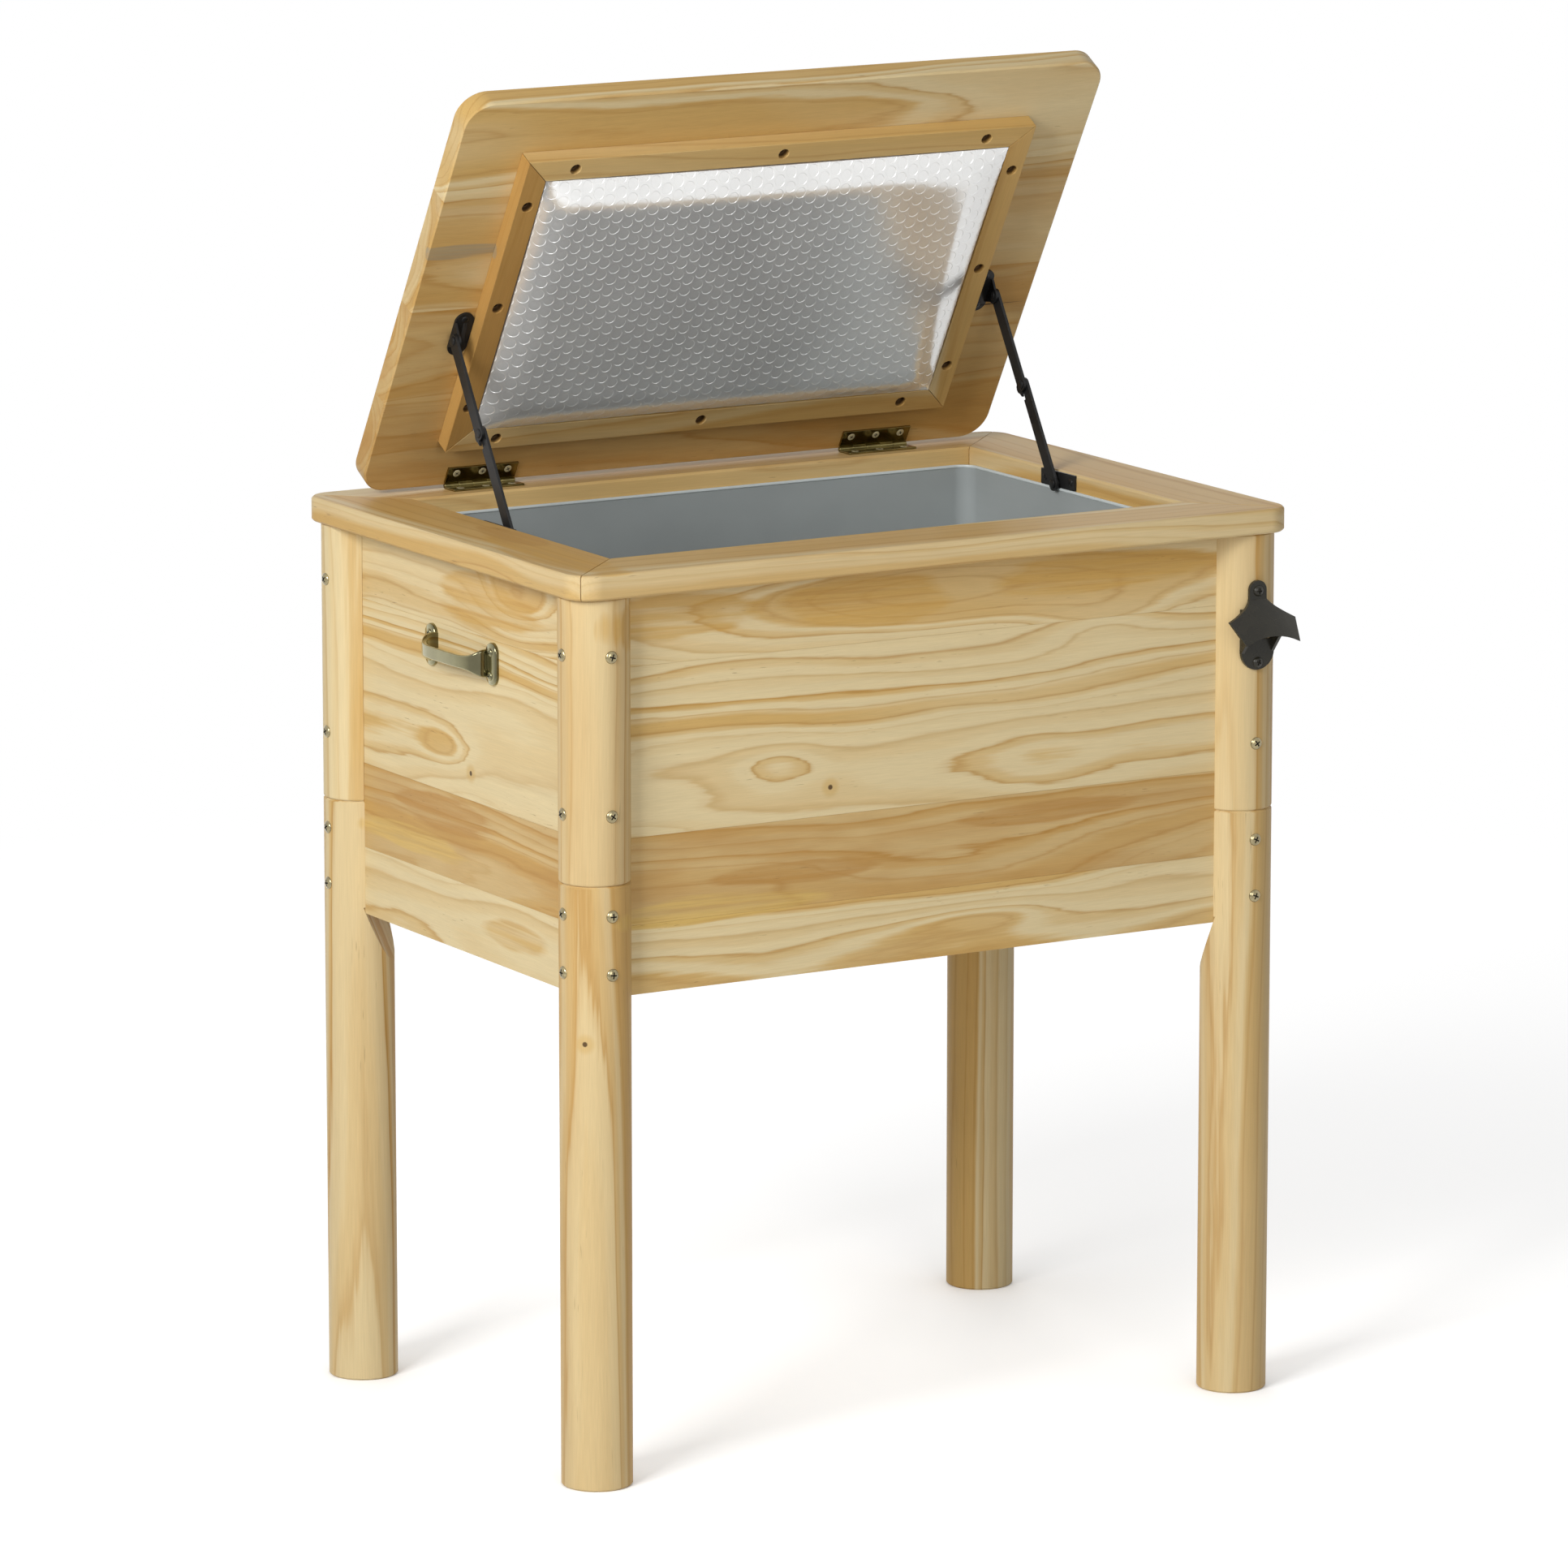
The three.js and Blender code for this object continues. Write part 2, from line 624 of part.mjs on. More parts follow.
function boxStud(side) {
  const sign = side === "left" ? -1 : 1;
  const armLow = upperArmLow[side] + layerStep;
  const near = side === "left" ? boxPlateFace + armLow : boxPlateFace - armLow - stayArmThickness;
  const collar = near - stayLayerGap;
  const through = near + stayArmThickness + stayLayerGap;
  const shank = stayPivotDiameter / 2;
  const head = stayRivetDiameter / 2;
  const stud = turned([
    [0, 0], [head, 0], [head, collar], [shank, collar], [shank, through], [head, through],
    [head, through + stayRivetHeight / 2], [head / 2, through + stayRivetHeight],
    [0, through + stayRivetHeight],
  ], rivetFacets);
  return placed(
    stud, sign < 0 ? toRight : toLeft, [sign * boxPlateFace, stayBoxPivotY, stayBoxPivotZ]);
}

for (const [side, sign] of [["left", -1], ["right", 1]]) {
  const low = sign < 0 ? -mouthHalfX : boxPlateFace;
  const plate = placed(
    slab(boxPlateOutline, stayPlateThickness, rightwards), toTop, [low, stayBoxPivotY, 0]);
  const screws = screwsAt(stayScrew, boxPlateScrewPlaces(sign));
  addPiece(frame, `${side}_stay_box_plate`, plate.add(screws), blackSteel);
  addPiece(frame, `${side}_stay_box_stud`, boxStud(side), blackSteel);
}

// Bottle opener: a tab and a lower plate on the post, and a bowed hood that stands out over the
// mouth where the bottle goes. Drawn with X from its middle and Y outwards from its back.
function openerSolid() {
  const tabRadius = openerTabWidth / 2;
  const cheekTop = openerHoodTop - openerCheekInset;
  const cheekBottom = cheekTop - openerCheekLength;
  const neckHeight = openerHoodTop - openerNeckDrop;
  const tab = new THREE.Shape();
  tab.moveTo(-tabRadius, cheekTop);
  tab.lineTo(tabRadius, cheekTop);
  tab.absarc(0, openerHoodTop + openerTabRise - tabRadius, tabRadius, 0, Math.PI);
  const plateRadius = openerPlateWidth / 2;
  const plate = new THREE.Shape();
  const plateFoot = openerTipHeight - openerPlateLength;
  plate.absarc(0, plateFoot + plateRadius, plateRadius, Math.PI, 2 * Math.PI);
  plate.lineTo(plateRadius, openerTipHeight);
  plate.lineTo(-plateRadius, openerTipHeight);

  // The hood is a bowed band, sheared so that it leans out as it comes down
  const slope = openerReach / (openerHoodTop - openerArchHeight);
  const band = (out) => Array.from({ length: hoodSteps + 1 }, (_, step) => {
    const share = 2 * step / hoodSteps - 1;
    return [share * openerShoulderWidth / 2, out - openerBow * share ** 2];
  });
  const bowed = outlineOf([...band(0), ...band(openerThickness).reverse()]);
  const height = openerHoodTop - openerTipHeight + 2 * overrun;
  const lean = new THREE.Matrix4().set(
    1, 0, 0, 0, 0, 1, -slope, slope * openerHoodTop, 0, 0, 1, 0, 0, 0, 0, 1);
  const raised = placed(slab(bowed, height, upwards), toTop, [0, 0, openerTipHeight - overrun]);
  const leaning = raised.transform(lean.elements);
  const front = new THREE.Shape();
  front.moveTo(-tabRadius, openerHoodTop);
  front.lineTo(tabRadius, openerHoodTop);
  front.quadraticCurveTo(
    openerNeckWidth / 2, neckHeight, openerShoulderWidth / 2, openerShoulderHeight);
  front.lineTo(openerTipWidth / 2, openerTipHeight);
  front.quadraticCurveTo(
    0, 2 * openerArchHeight - openerTipHeight, -openerTipWidth / 2, openerTipHeight);
  front.lineTo(-openerShoulderWidth / 2, openerShoulderHeight);
  front.quadraticCurveTo(
    -openerNeckWidth / 2, neckHeight, -tabRadius, openerHoodTop);
  const outwards = new THREE.Matrix4().makeRotationZ(Math.PI);
  const face = placed(slab(front, 2 * openerReach, frontwards), outwards, [0, 0, 0]);
  const hood = leaning.intersect(face);

  // Two cheeks carry the hood from the sides of the lower plate
  const underHood = (z) => slope * (openerHoodTop - z);
  const cheek = outlineOf([
    [0, cheekBottom], [openerThickness, cheekBottom],
    [underHood(openerShoulderHeight), openerTipHeight + openerThickness],
    [underHood(openerShoulderHeight), openerShoulderHeight],
    [underHood(cheekTop), cheekTop], [0, cheekTop],
  ]);
  const cheeks = [-plateRadius, plateRadius - openerThickness].map(
    (x) => placed(slab(cheek, openerThickness, rightwards), toTop, [x, 0, 0]));
  const flat = [tab, plate].map((outline) => placed(
    slab(outline, openerThickness, frontwards), toTop, [0, openerThickness, 0]));
  return joined([...flat, hood, ...cheeks]);
}

const opener = placed(openerSolid(), halfTurn, [openerX, openerBack, 0]);
addPiece(frame, "bottle_opener", opener.subtract(openerScrewHoles), blackSteel);
openerScrewPlaces.forEach((place, index) => addPiece(
  frame, `opener_screw_${index + 1}`, screwsAt(openerScrew, [place]), blackSteel));

// Lid, drawn shut about the hinge axis and turned open as a group: Y forwards is negative,
// and its underside lies above the axis by the height of the axis over the rim
const lid = new THREE.Group();
lid.position.set(0, hingeAxisY, hingeAxisZ);
lid.rotation.x = -openAngle * degree;

const lidUnder = hingeAxisHeight;
const battenUnder = lidUnder - battenThickness;
const battenMiddle = battenFrameStart + battenFrameDepth / 2;
const battenHoleSpacingX = battenFrameHalfWidth - battenHoleInset;
const battenHoleSpacingY = battenFrameDepth / 2 - battenHoleInset;
const battenLine = battenWidth / 2;
const counterboreFloor = battenUnder + counterboreDepth;
const steps = [-1, 0, 1];
const counterborePlaces = [
  ...steps.map((step) => [step * battenHoleSpacingX, battenLine - battenFrameEnd]),
  ...steps.map((step) => [step * battenHoleSpacingX, -battenLine - battenFrameStart]),
  ...[-1, 1].flatMap((side) => steps.map((step) => [
    side * (battenFrameHalfWidth - battenLine), step * battenHoleSpacingY - battenMiddle])),
];
const counterbores = joined(counterborePlaces.map(([x, y]) => placed(
  rod(counterboreDiameter, 0, counterboreDepth + overrun, rivetFacets),
  toBottom, [x, y, counterboreFloor])));

const lidLeafUnder = lidUnder - hingeLeafThickness;
const lidLeafScrewPlaces = (x) => hingeScrewSteps.map(
  (step) => [toBottom, [x + step, -hingeScrewFromAxis, lidLeafUnder]]);
const lidPlateUnder = lidUnder - stayPlateThickness;
const lidPlateScrewPlaces = (sign) => [-1, 1].map((end) => [toBottom, [
  sign * lidPlateX, end * stayPlateScrewSpacing / 2 - stayLidPivotOut, lidPlateUnder]]);

const lidOutline = roundedRectangle(
  lidHalfWidth, -lidFrontEdge, lidBackOverhang, lidCornerRadius);
const lidBoard = placed(
  slab(lidOutline, lidThickness, upwards, lidArris), toTop, [0, 0, lidUnder]);
addPiece(lid, "lid_board", lidBoard
  .subtract(holesAt(hingeScrew, hingeCentres.flatMap(lidLeafScrewPlaces)))
  .subtract(holesAt(stayScrew, [-1, 1].flatMap(lidPlateScrewPlaces))), pine);

const battenInnerX = battenFrameHalfWidth - battenWidth;
const battenInnerY = battenFrameDepth / 2 - battenWidth;
const battenRing = block(
  [-battenFrameHalfWidth, -battenFrameDepth / 2, battenUnder],
  [battenFrameHalfWidth, battenFrameDepth / 2, lidUnder],
).subtract(block(
  [-battenInnerX, -battenInnerY, battenUnder - overrun], [battenInnerX, battenInnerY, lidUnder + overrun]));
const battens = mitred(
  battenRing, battenInnerX, battenInnerY, battenWidth, battenUnder, battenThickness);
for (const place of ["front", "back", "left", "right"]) {
  const batten = placed(battens[place], toTop, [0, -battenMiddle, 0]);
  addPiece(lid, `${place}_batten`, batten.subtract(counterbores), pine);
}

// Foil pad: a quilted sheet bedded between the battens. It swells up out of them, and its
// sides draw in a little between the corners.
function padSolid() {
  const halfX = battenInnerX - padFit;
  const halfY = battenInnerY - padFit;
  const points = [];
  const triangles = [];
  const columns = padStepsX + 1;
  const rows = padStepsY + 1;
  const spread = (share) => Math.sin(share * Math.PI / 2);
  for (const face of [0, 1]) {
    for (let row = 0; row < rows; row += 1) {
      for (let column = 0; column < columns; column += 1) {
        const u = spread(2 * column / padStepsX - 1);
        const v = spread(2 * row / padStepsY - 1);
        const swell = ((1 - u ** 6) * (1 - v ** 6)) ** 0.5;
        const x = u * (halfX - padDrawIn * (1 - v ** 2));
        const y = v * (halfY - padDrawIn * (1 - u ** 2));
        const low = battenUnder - padEdgeRise - swell * (padCrown - padEdgeRise);
        points.push(x, y, face ? low : lidUnder - padSeat);
      }
    }
  }
  const at = (face, row, column) => face * rows * columns + row * columns + column;
  const quad = (a, b, c, d) => triangles.push(a, b, c, a, c, d);
  for (let row = 0; row < padStepsY; row += 1) {
    for (let column = 0; column < padStepsX; column += 1) {
      quad(at(0, row, column), at(0, row, column + 1),
        at(0, row + 1, column + 1), at(0, row + 1, column));
      quad(at(1, row, column), at(1, row + 1, column),
        at(1, row + 1, column + 1), at(1, row, column + 1));
    }
  }
  for (let column = 0; column < padStepsX; column += 1) {
    quad(at(1, 0, column), at(1, 0, column + 1), at(0, 0, column + 1), at(0, 0, column));
    quad(at(0, padStepsY, column), at(0, padStepsY, column + 1),
      at(1, padStepsY, column + 1), at(1, padStepsY, column));
  }
  for (let row = 0; row < padStepsY; row += 1) {
    quad(at(0, row, 0), at(0, row + 1, 0), at(1, row + 1, 0), at(1, row, 0));
    quad(at(1, row, padStepsX), at(1, row + 1, padStepsX),
      at(0, row + 1, padStepsX), at(0, row, padStepsX));
  }
  const geometry = new THREE.BufferGeometry();
  geometry.setAttribute("position", new THREE.Float32BufferAttribute(points, 3));
  geometry.setIndex(triangles);
  return placed(solidOf(geometry), toTop, [0, -battenMiddle, 0]);
}
addPiece(lid, "foil_pad", padSolid(), silverFoil);

// Lid leaves of the hinges
for (const [side, x] of hingeNames) {
  const leaf = placed(hingeLeaf(lidLeafUnder, [1, 3]), toTop, [x, 0, 0]);
  const screws = screwsAt(hingeScrew, lidLeafScrewPlaces(x));
  addPiece(lid, `${side}_hinge_lid_leaf`, leaf.add(screws), darkBrass);
}

// Lid end of the stays: an oblong plate with an upstanding ear along its outer edge
const lidPivotZ = lidUnder - stayLidPivotDrop;
const pivotHole = rod(
  stayPivotDiameter + stayPivotPlay, -stayArmWidth, stayArmWidth, rivetFacets);

function lidPlate(sign) {
  const radius = stayLidPlateWidth / 2;
  const outline = roundedRectangle(
    radius, -stayLidPlateLength / 2, stayLidPlateLength / 2, radius);
  const plate = placed(slab(outline, stayPlateThickness, upwards), toTop, [0, 0, lidPlateUnder]);
  const ear = new THREE.Shape();
  ear.moveTo(2 * stayEarRadius, lidUnder);
  ear.lineTo(-2 * stayEarRadius, lidUnder);
  ear.absarc(0, lidPivotZ, stayEarRadius, Math.PI, 2 * Math.PI);
  const inside = radius - stayPlateThickness;
  const low = sign < 0 ? -radius : inside;
  const upright = placed(slab(ear, stayPlateThickness, rightwards), toTop, [low, 0, 0]);
  return plate.add(upright).subtract(placed(pivotHole, toRight, [low, 0, lidPivotZ]));
}

function lidRivet(side) {
  const armEdge = earOutside + stayEarGap + stayArmThickness + stayLayerGap;
  const earEdge = earOutside - stayPlateThickness;
  const shank = stayPivotDiameter / 2;
  const head = stayRivetDiameter / 2;
  const rivet = turned([
    [0, earEdge - stayRivetHeight], [head / 2, earEdge - stayRivetHeight],
    [head, earEdge - stayRivetHeight / 2], [head, earEdge], [shank, earEdge],
    [shank, armEdge], [head, armEdge], [head, armEdge + stayRivetHeight / 2],
    [head / 2, armEdge + stayRivetHeight], [0, armEdge + stayRivetHeight],
  ], rivetFacets);
  return placed(rivet, side === "left" ? toLeft : toRight, [0, -stayLidPivotOut, lidPivotZ]);
}

for (const [side, sign] of [["left", -1], ["right", 1]]) {
  const plate = placed(lidPlate(sign), toTop, [sign * lidPlateX, -stayLidPivotOut, 0]);
  const screws = screwsAt(stayScrew, lidPlateScrewPlaces(sign));
  addPiece(lid, `${side}_stay_lid_plate`, plate.add(screws), blackSteel);
  addPiece(lid, `${side}_stay_lid_rivet`, lidRivet(side), blackSteel);
}

// Arms of the stays, each drawn hanging down from its origin at the lid pivot, with the back
// of the stay towards positive Y. Open, both arms lie in one straight line.
const opened = new THREE.Vector3(0, -stayLidPivotOut, lidPivotZ)
  .applyEuler(lid.rotation)
  .add(lid.position);
const stayRun = Math.hypot(opened.y - stayBoxPivotY, opened.z - stayBoxPivotZ);
const stayLowerLength = stayRun - stayUpperLength;
const stayLean = Math.atan2(stayBoxPivotY - opened.y, opened.z - stayBoxPivotZ);
const halfArm = stayArmWidth / 2;

function armBar(top, bottom) {
  const bar = new THREE.Shape();
  bar.absarc(0, top, halfArm, 0, Math.PI);
  bar.absarc(0, bottom, halfArm, Math.PI, 2 * Math.PI);
  return slab(bar, stayArmThickness, rightwards);
}

function armHole(down) {
  return placed(pivotHole, toRight, [0, 0, -down]);
}

// The upper arm ends in a small hook beside the pivot that it shares with the lower arm
function upperArm() {
  const hook = outlineOf([
    [halfArm - stayHookWidth, -stayUpperLength], [halfArm, -stayUpperLength],
    [halfArm, -stayUpperLength - stayHookLength / 2],
    [halfArm - stayHookWidth / 2, -stayUpperLength - stayHookLength],
  ]);
  return armBar(0, -stayUpperLength)
    .add(slab(hook, stayArmThickness, rightwards))
    .subtract(armHole(0))
    .subtract(armHole(stayUpperLength));
}

// The lower arm has a thumb tab on its back edge, a step that the hook meets, and a boss
function lowerArm() {
  const tab = placed(
    rod(2 * stayElbowTabRadius, 0, stayArmThickness, rivetFacets),
    toRight, [0, stayElbowTabOut, -stayUpperLength]);
  const stepLow = -stayUpperLength - stayHookLength - stayArmThickness;
  const notch = block(
    [-overrun, halfArm - stayHookWidth / 2, stepLow],
    [stayArmThickness + overrun, stayArmWidth, -stayUpperLength - halfArm]);
  const boss = placed(
    rod(stayRivetDiameter, 0, stayArmThickness + stayRivetHeight, rivetFacets),
    toRight, [0, 0, -stayUpperLength]);
  return armBar(-stayUpperLength, -stayRun)
    .add(tab)
    .subtract(notch)
    .add(boss)
    .subtract(armHole(stayRun));
}

// The rivet at the elbow stays with the upper arm and stops short of the lower one
function elbowRivet() {
  const head = stayRivetDiameter / 2;
  const shank = stayPivotDiameter / 2;
  const rivet = turned([
    [0, -stayRivetHeight], [head / 2, -stayRivetHeight], [head, -stayRivetHeight / 2],
    [head, 0], [shank, 0], [shank, stayArmThickness], [0, stayArmThickness],
  ], rivetFacets);
  return placed(rivet, toRight, [0, 0, -stayUpperLength]);
}

for (const side of ["left", "right"]) {
  const stay = new THREE.Group();
  stay.position.copy(opened).setX(upperArmLow[side]);
  stay.rotation.x = stayLean;
  addPiece(stay, `${side}_stay_upper_arm`, upperArm(), blackSteel);
  addPiece(stay, `${side}_stay_elbow_rivet`, elbowRivet(), blackSteel);
  const lower = new THREE.Group();
  lower.position.x = layerStep;
  addPiece(lower, `${side}_stay_lower_arm`, lowerArm(), blackSteel);
  stay.add(lower);
  frame.add(stay);
}
frame.add(lid);

// The origin is on the floor under the middle of the whole, opener included
const whole = new THREE.Box3().setFromObject(frame, true);
frame.position.y = -(whole.min.y + whole.max.y) / 2;

export default frame;
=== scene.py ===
"""The look of a pine patio cooler: an ice chest on four round legs, its lid open on two stays."""
import json
import math

import bmesh
import bpy
from mathutils import Matrix, Vector


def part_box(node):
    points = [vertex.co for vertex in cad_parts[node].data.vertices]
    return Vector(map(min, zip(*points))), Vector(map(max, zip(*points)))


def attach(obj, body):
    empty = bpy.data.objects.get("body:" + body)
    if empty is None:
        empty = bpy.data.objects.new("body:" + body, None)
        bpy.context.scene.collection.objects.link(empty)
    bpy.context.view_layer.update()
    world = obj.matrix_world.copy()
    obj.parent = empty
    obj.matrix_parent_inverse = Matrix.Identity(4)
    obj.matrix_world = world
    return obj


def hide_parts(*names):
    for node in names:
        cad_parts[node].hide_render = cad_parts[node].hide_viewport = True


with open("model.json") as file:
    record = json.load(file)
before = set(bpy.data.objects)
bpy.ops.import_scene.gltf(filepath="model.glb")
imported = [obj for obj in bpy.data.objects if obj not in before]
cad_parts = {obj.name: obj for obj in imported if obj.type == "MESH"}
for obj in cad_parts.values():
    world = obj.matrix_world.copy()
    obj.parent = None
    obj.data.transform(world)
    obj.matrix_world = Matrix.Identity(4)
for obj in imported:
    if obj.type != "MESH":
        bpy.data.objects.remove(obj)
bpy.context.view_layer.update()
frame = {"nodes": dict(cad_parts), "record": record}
cad = frame["nodes"]
scene = bpy.context.scene
scene.view_settings.view_transform = "Standard"

# Studio: a white room, seen from the front left at eye height with a long lens. A broad soft
# lamp on the left lights the front and the left side, and the floor keeps a faint shadow, partly
# real and partly painted shade where its glow dims near the chest.
camera_place = Vector((-3.92359, -6.68573, 2.06232))
camera_yaw = math.radians(-30.285)
camera_pitch = math.radians(78.804)
lens_mm = 211.97
floor_size = 40.0
floor_white = 0.83
room_light = 0.16
floor_glow = 0.605
corner_shade_reach = 0.45
floor_fade = (0.9, 2.6)
white = (1, 1, 1, 1)


def add_node(tree, kind, inputs=None, **settings):
    """A node with its settings, and its inputs set to values or linked to sockets."""
    made = tree.nodes.new(kind)
    for key, value in settings.items():
        setattr(made, key, value)
    for key, value in (inputs or {}).items():
        if isinstance(value, bpy.types.NodeSocket):
            tree.links.new(value, made.inputs[key])
        else:
            made.inputs[key].default_value = value
    return made


def blank_material(name):
    """A new material, and its empty node tree."""
    made = bpy.data.materials.new(name)
    made.use_nodes = True
    made.node_tree.nodes.clear()
    return made, made.node_tree


def remap(tree, value, low, high, start=0.3, end=0.7, **settings):
    """Runs from low to high while the value runs from start to end."""
    return add_node(tree, "ShaderNodeMapRange", {
        "Value": value, "From Min": start, "From Max": end, "To Min": low, "To Max": high},
        **settings).outputs[0]


def maths(tree, operation, *values):
    """Arithmetic on values."""
    return add_node(
        tree, "ShaderNodeMath", dict(enumerate(values)), operation=operation).outputs[0]


def vectors(tree, operation, *values, output="Vector"):
    """Arithmetic on places or colours."""
    return add_node(
        tree, "ShaderNodeVectorMath", dict(enumerate(values)), operation=operation).outputs[output]


def own_place(tree):
    """Where a point lies on its piece."""
    return add_node(tree, "ShaderNodeTexCoord").outputs["Object"]


def put(name, data):
    """A new object in the scene, at the origin."""
    made = bpy.data.objects.new(name, data)
    scene.collection.objects.link(made)
    return made


camera_data = bpy.data.cameras.new("camera")
camera_data.lens = lens_mm
camera_data.clip_end = 60.0
camera = put("camera", camera_data)
camera.location = camera_place
camera.rotation_euler = (camera_pitch, 0.0, camera_yaw)
scene.camera = camera

room = bpy.data.worlds.new("room")
room.use_nodes = True
tree = room.node_tree
tree.nodes.clear()
rays = add_node(tree, "ShaderNodeLightPath").outputs
lit = add_node(tree, "ShaderNodeBackground", {"Color": white, "Strength": room_light})
seen = add_node(tree, "ShaderNodeBackground", {"Color": white, "Strength": 1.0})
white_rays = maths(tree, "MAXIMUM", rays["Is Camera Ray"], rays["Is Glossy Ray"])
white_rays = maths(tree, "MAXIMUM", white_rays, rays["Is Transmission Ray"])
room_mix = add_node(
    tree, "ShaderNodeMixShader", {0: white_rays, 1: lit.outputs[0], 2: seen.outputs[0]})
add_node(tree, "ShaderNodeOutputWorld", {0: room_mix.outputs[0]})
scene.world = room

floor_material, tree = blank_material("white_floor")
rays = add_node(tree, "ShaderNodeLightPath").outputs
matt = add_node(tree, "ShaderNodeBsdfDiffuse", {"Color": (floor_white,) * 3 + (1,)})
# The glow that keeps the floor white dims by ambient occlusion near the legs and under the chest: a
# painted shadow
floor_painted_shade = add_node(
    tree, "ShaderNodeAmbientOcclusion", {"Distance": corner_shade_reach}, samples=8).outputs["AO"]
glow_white = add_node(tree, "ShaderNodeEmission", {
    "Color": white, "Strength": maths(tree, "MULTIPLY", floor_painted_shade, floor_glow)})
glow_off = add_node(tree, "ShaderNodeEmission", {"Strength": 0.0})
white_rays = maths(tree, "MAXIMUM", rays["Is Camera Ray"], rays["Is Glossy Ray"])
glow = add_node(tree, "ShaderNodeMixShader", {
    0: white_rays, 1: glow_off.outputs[0], 2: glow_white.outputs[0]})
near_floor = add_node(tree, "ShaderNodeAddShader", {0: matt.outputs[0], 1: glow.outputs[0]})
far_white = add_node(tree, "ShaderNodeEmission", {"Color": white, "Strength": 1.0})
spread = vectors(tree, "LENGTH", own_place(tree), output="Value")
far = remap(tree, spread, 0.0, 1.0, *floor_fade, interpolation_type="SMOOTHSTEP")
floor_mix = add_node(tree, "ShaderNodeMixShader", {
    0: maths(tree, "MULTIPLY", far, white_rays), 1: near_floor.outputs[0],
    2: far_white.outputs[0]})
add_node(tree, "ShaderNodeOutputMaterial", {0: floor_mix.outputs[0]})

floor_mesh = bpy.data.meshes.new("floor")
edge = floor_size / 2
floor_mesh.from_pydata(
    [(-edge, -edge, 0), (edge, -edge, 0), (edge, edge, 0), (-edge, edge, 0)], [], [(0, 1, 2, 3)])
floor_mesh.materials.append(floor_material)
put("floor", floor_mesh)


def hang_lamp(name, place, size, watts):
    """A square soft lamp that faces the middle of the cooler, and its object."""
    data = bpy.data.lights.new(name, "AREA")
    data.size = size
    data.energy = watts
    lamp = put(name, data)
    lamp.location = place
    lamp.rotation_euler = (Vector((0, 0, 0.6)) - lamp.location).to_track_quat("-Z", "Y").to_euler()
    return lamp


hang_lamp("side_lamp", (-3.4, -1.7, 2.5), 1.5, 135)
hang_lamp("front_lamp", (-0.8, -4.2, 1.7), 2.0, 42)
hang_lamp("top_lamp", (-0.6, -0.4, 4.0), 2.4, 6)
hang_lamp("back_lamp", (1.9, 3.9, 1.8), 2.2, 52).visible_glossy = False

# Pine: pale, knotty and flat-sawn, under a clear satin lacquer. Each board carries its own
# place in the log, so that the rings cut its faces as long lines and cathedral arches.
ring_spacing = 0.0072
pine_pale = (0.700, 0.570, 0.328, 1)
pine_honey = (0.560, 0.335, 0.088, 1)
pine_line = (0.400, 0.200, 0.046, 1)
pine_tan = (0.525, 0.335, 0.120, 1)
pine_smear = (0.440, 0.235, 0.066, 1)
pine_yellow = (0.640, 0.440, 0.135, 1)
pine_grey = (0.300, 0.270, 0.190, 1)
pine_speck = (0.170, 0.085, 0.030, 1)
knot_and_shade_brown = (0.090, 0.050, 0.022, 1)

# Where the pin knots sit; where the rings swell into eyes, how far each reaches and how much it
# lifts them; and where the wood is stained, how far and in what colour
pin_knots = [(-0.0946, -0.2056, 0.5698), (-0.323, -0.0001, 0.5692), (-0.3355, -0.2175, 0.3805)]
ring_eyes = [
    ((-0.1438, -0.2056, 0.5919), (0.045, 0.05, 0.021), 0.0112),
    ((-0.323, 0.0428, 0.5849), (0.05, 0.045, 0.021), 0.009),
    ((0.0, -0.2056, 0.73), (0.18, 0.05, 0.026), 0.02),
    ((0.175, -0.2056, 0.69), (0.07, 0.05, 0.022), 0.016),
    ((-0.323, -0.08, 0.73), (0.05, 0.062, 0.03), 0.02),
    ((0.05, -0.2056, 0.445), (0.1, 0.05, 0.016), 0.012),
]
stains = [
    ((-0.26, -0.2056, 0.726), (0.1, 0.05, 0.026), pine_honey),
    ((-0.058, -0.2056, 0.723), (0.086, 0.05, 0.026), pine_honey),
    ((0.165, -0.2056, 0.729), (0.12, 0.05, 0.018), pine_honey),
    ((-0.13, -0.2056, 0.501), (0.09, 0.05, 0.011), pine_smear),
    ((0.12, -0.2056, 0.528), (0.1, 0.05, 0.011), pine_smear),
    ((-0.21, -0.2056, 0.48), (0.12, 0.05, 0.014), pine_yellow),
    ((-0.323, -0.03, 0.718), (0.05, 0.1, 0.03), pine_honey),
    ((-0.323, 0.045, 0.528), (0.05, 0.09, 0.018), pine_smear),
    ((-0.323, 0.1, 0.493), (0.05, 0.11, 0.013), pine_yellow),
    ((-0.323, -0.08, 0.44), (0.05, 0.07, 0.018), pine_honey),
    ((-0.312, -0.13, 0.7725), (0.03, 0.12, 0.004), pine_honey),
    ((-0.295, -0.03, 0.7725), (0.018, 0.06, 0.004), pine_smear),
    ((-0.279, 0.0904, 0.995), (0.055, 0.006, 0.01), pine_grey),
]


def shaded(tree, colour, shade):
    """A colour made darker or lighter by a share."""
    return add_node(
        tree, "ShaderNodeVectorMath", {0: colour, "Scale": shade}, operation="SCALE").outputs[0]


def relief(tree, height, strength, depth, **settings):
    """The slope of a surface that a height raises by up to a depth."""
    return add_node(tree, "ShaderNodeBump", {
        "Strength": strength, "Distance": depth, "Height": height}, **settings).outputs[0]


def close_material(tree, inputs):
    """The surface that ends a material's tree."""
    surface = add_node(tree, "ShaderNodeBsdfPrincipled", inputs)
    add_node(tree, "ShaderNodeOutputMaterial", {0: surface.outputs[0]})


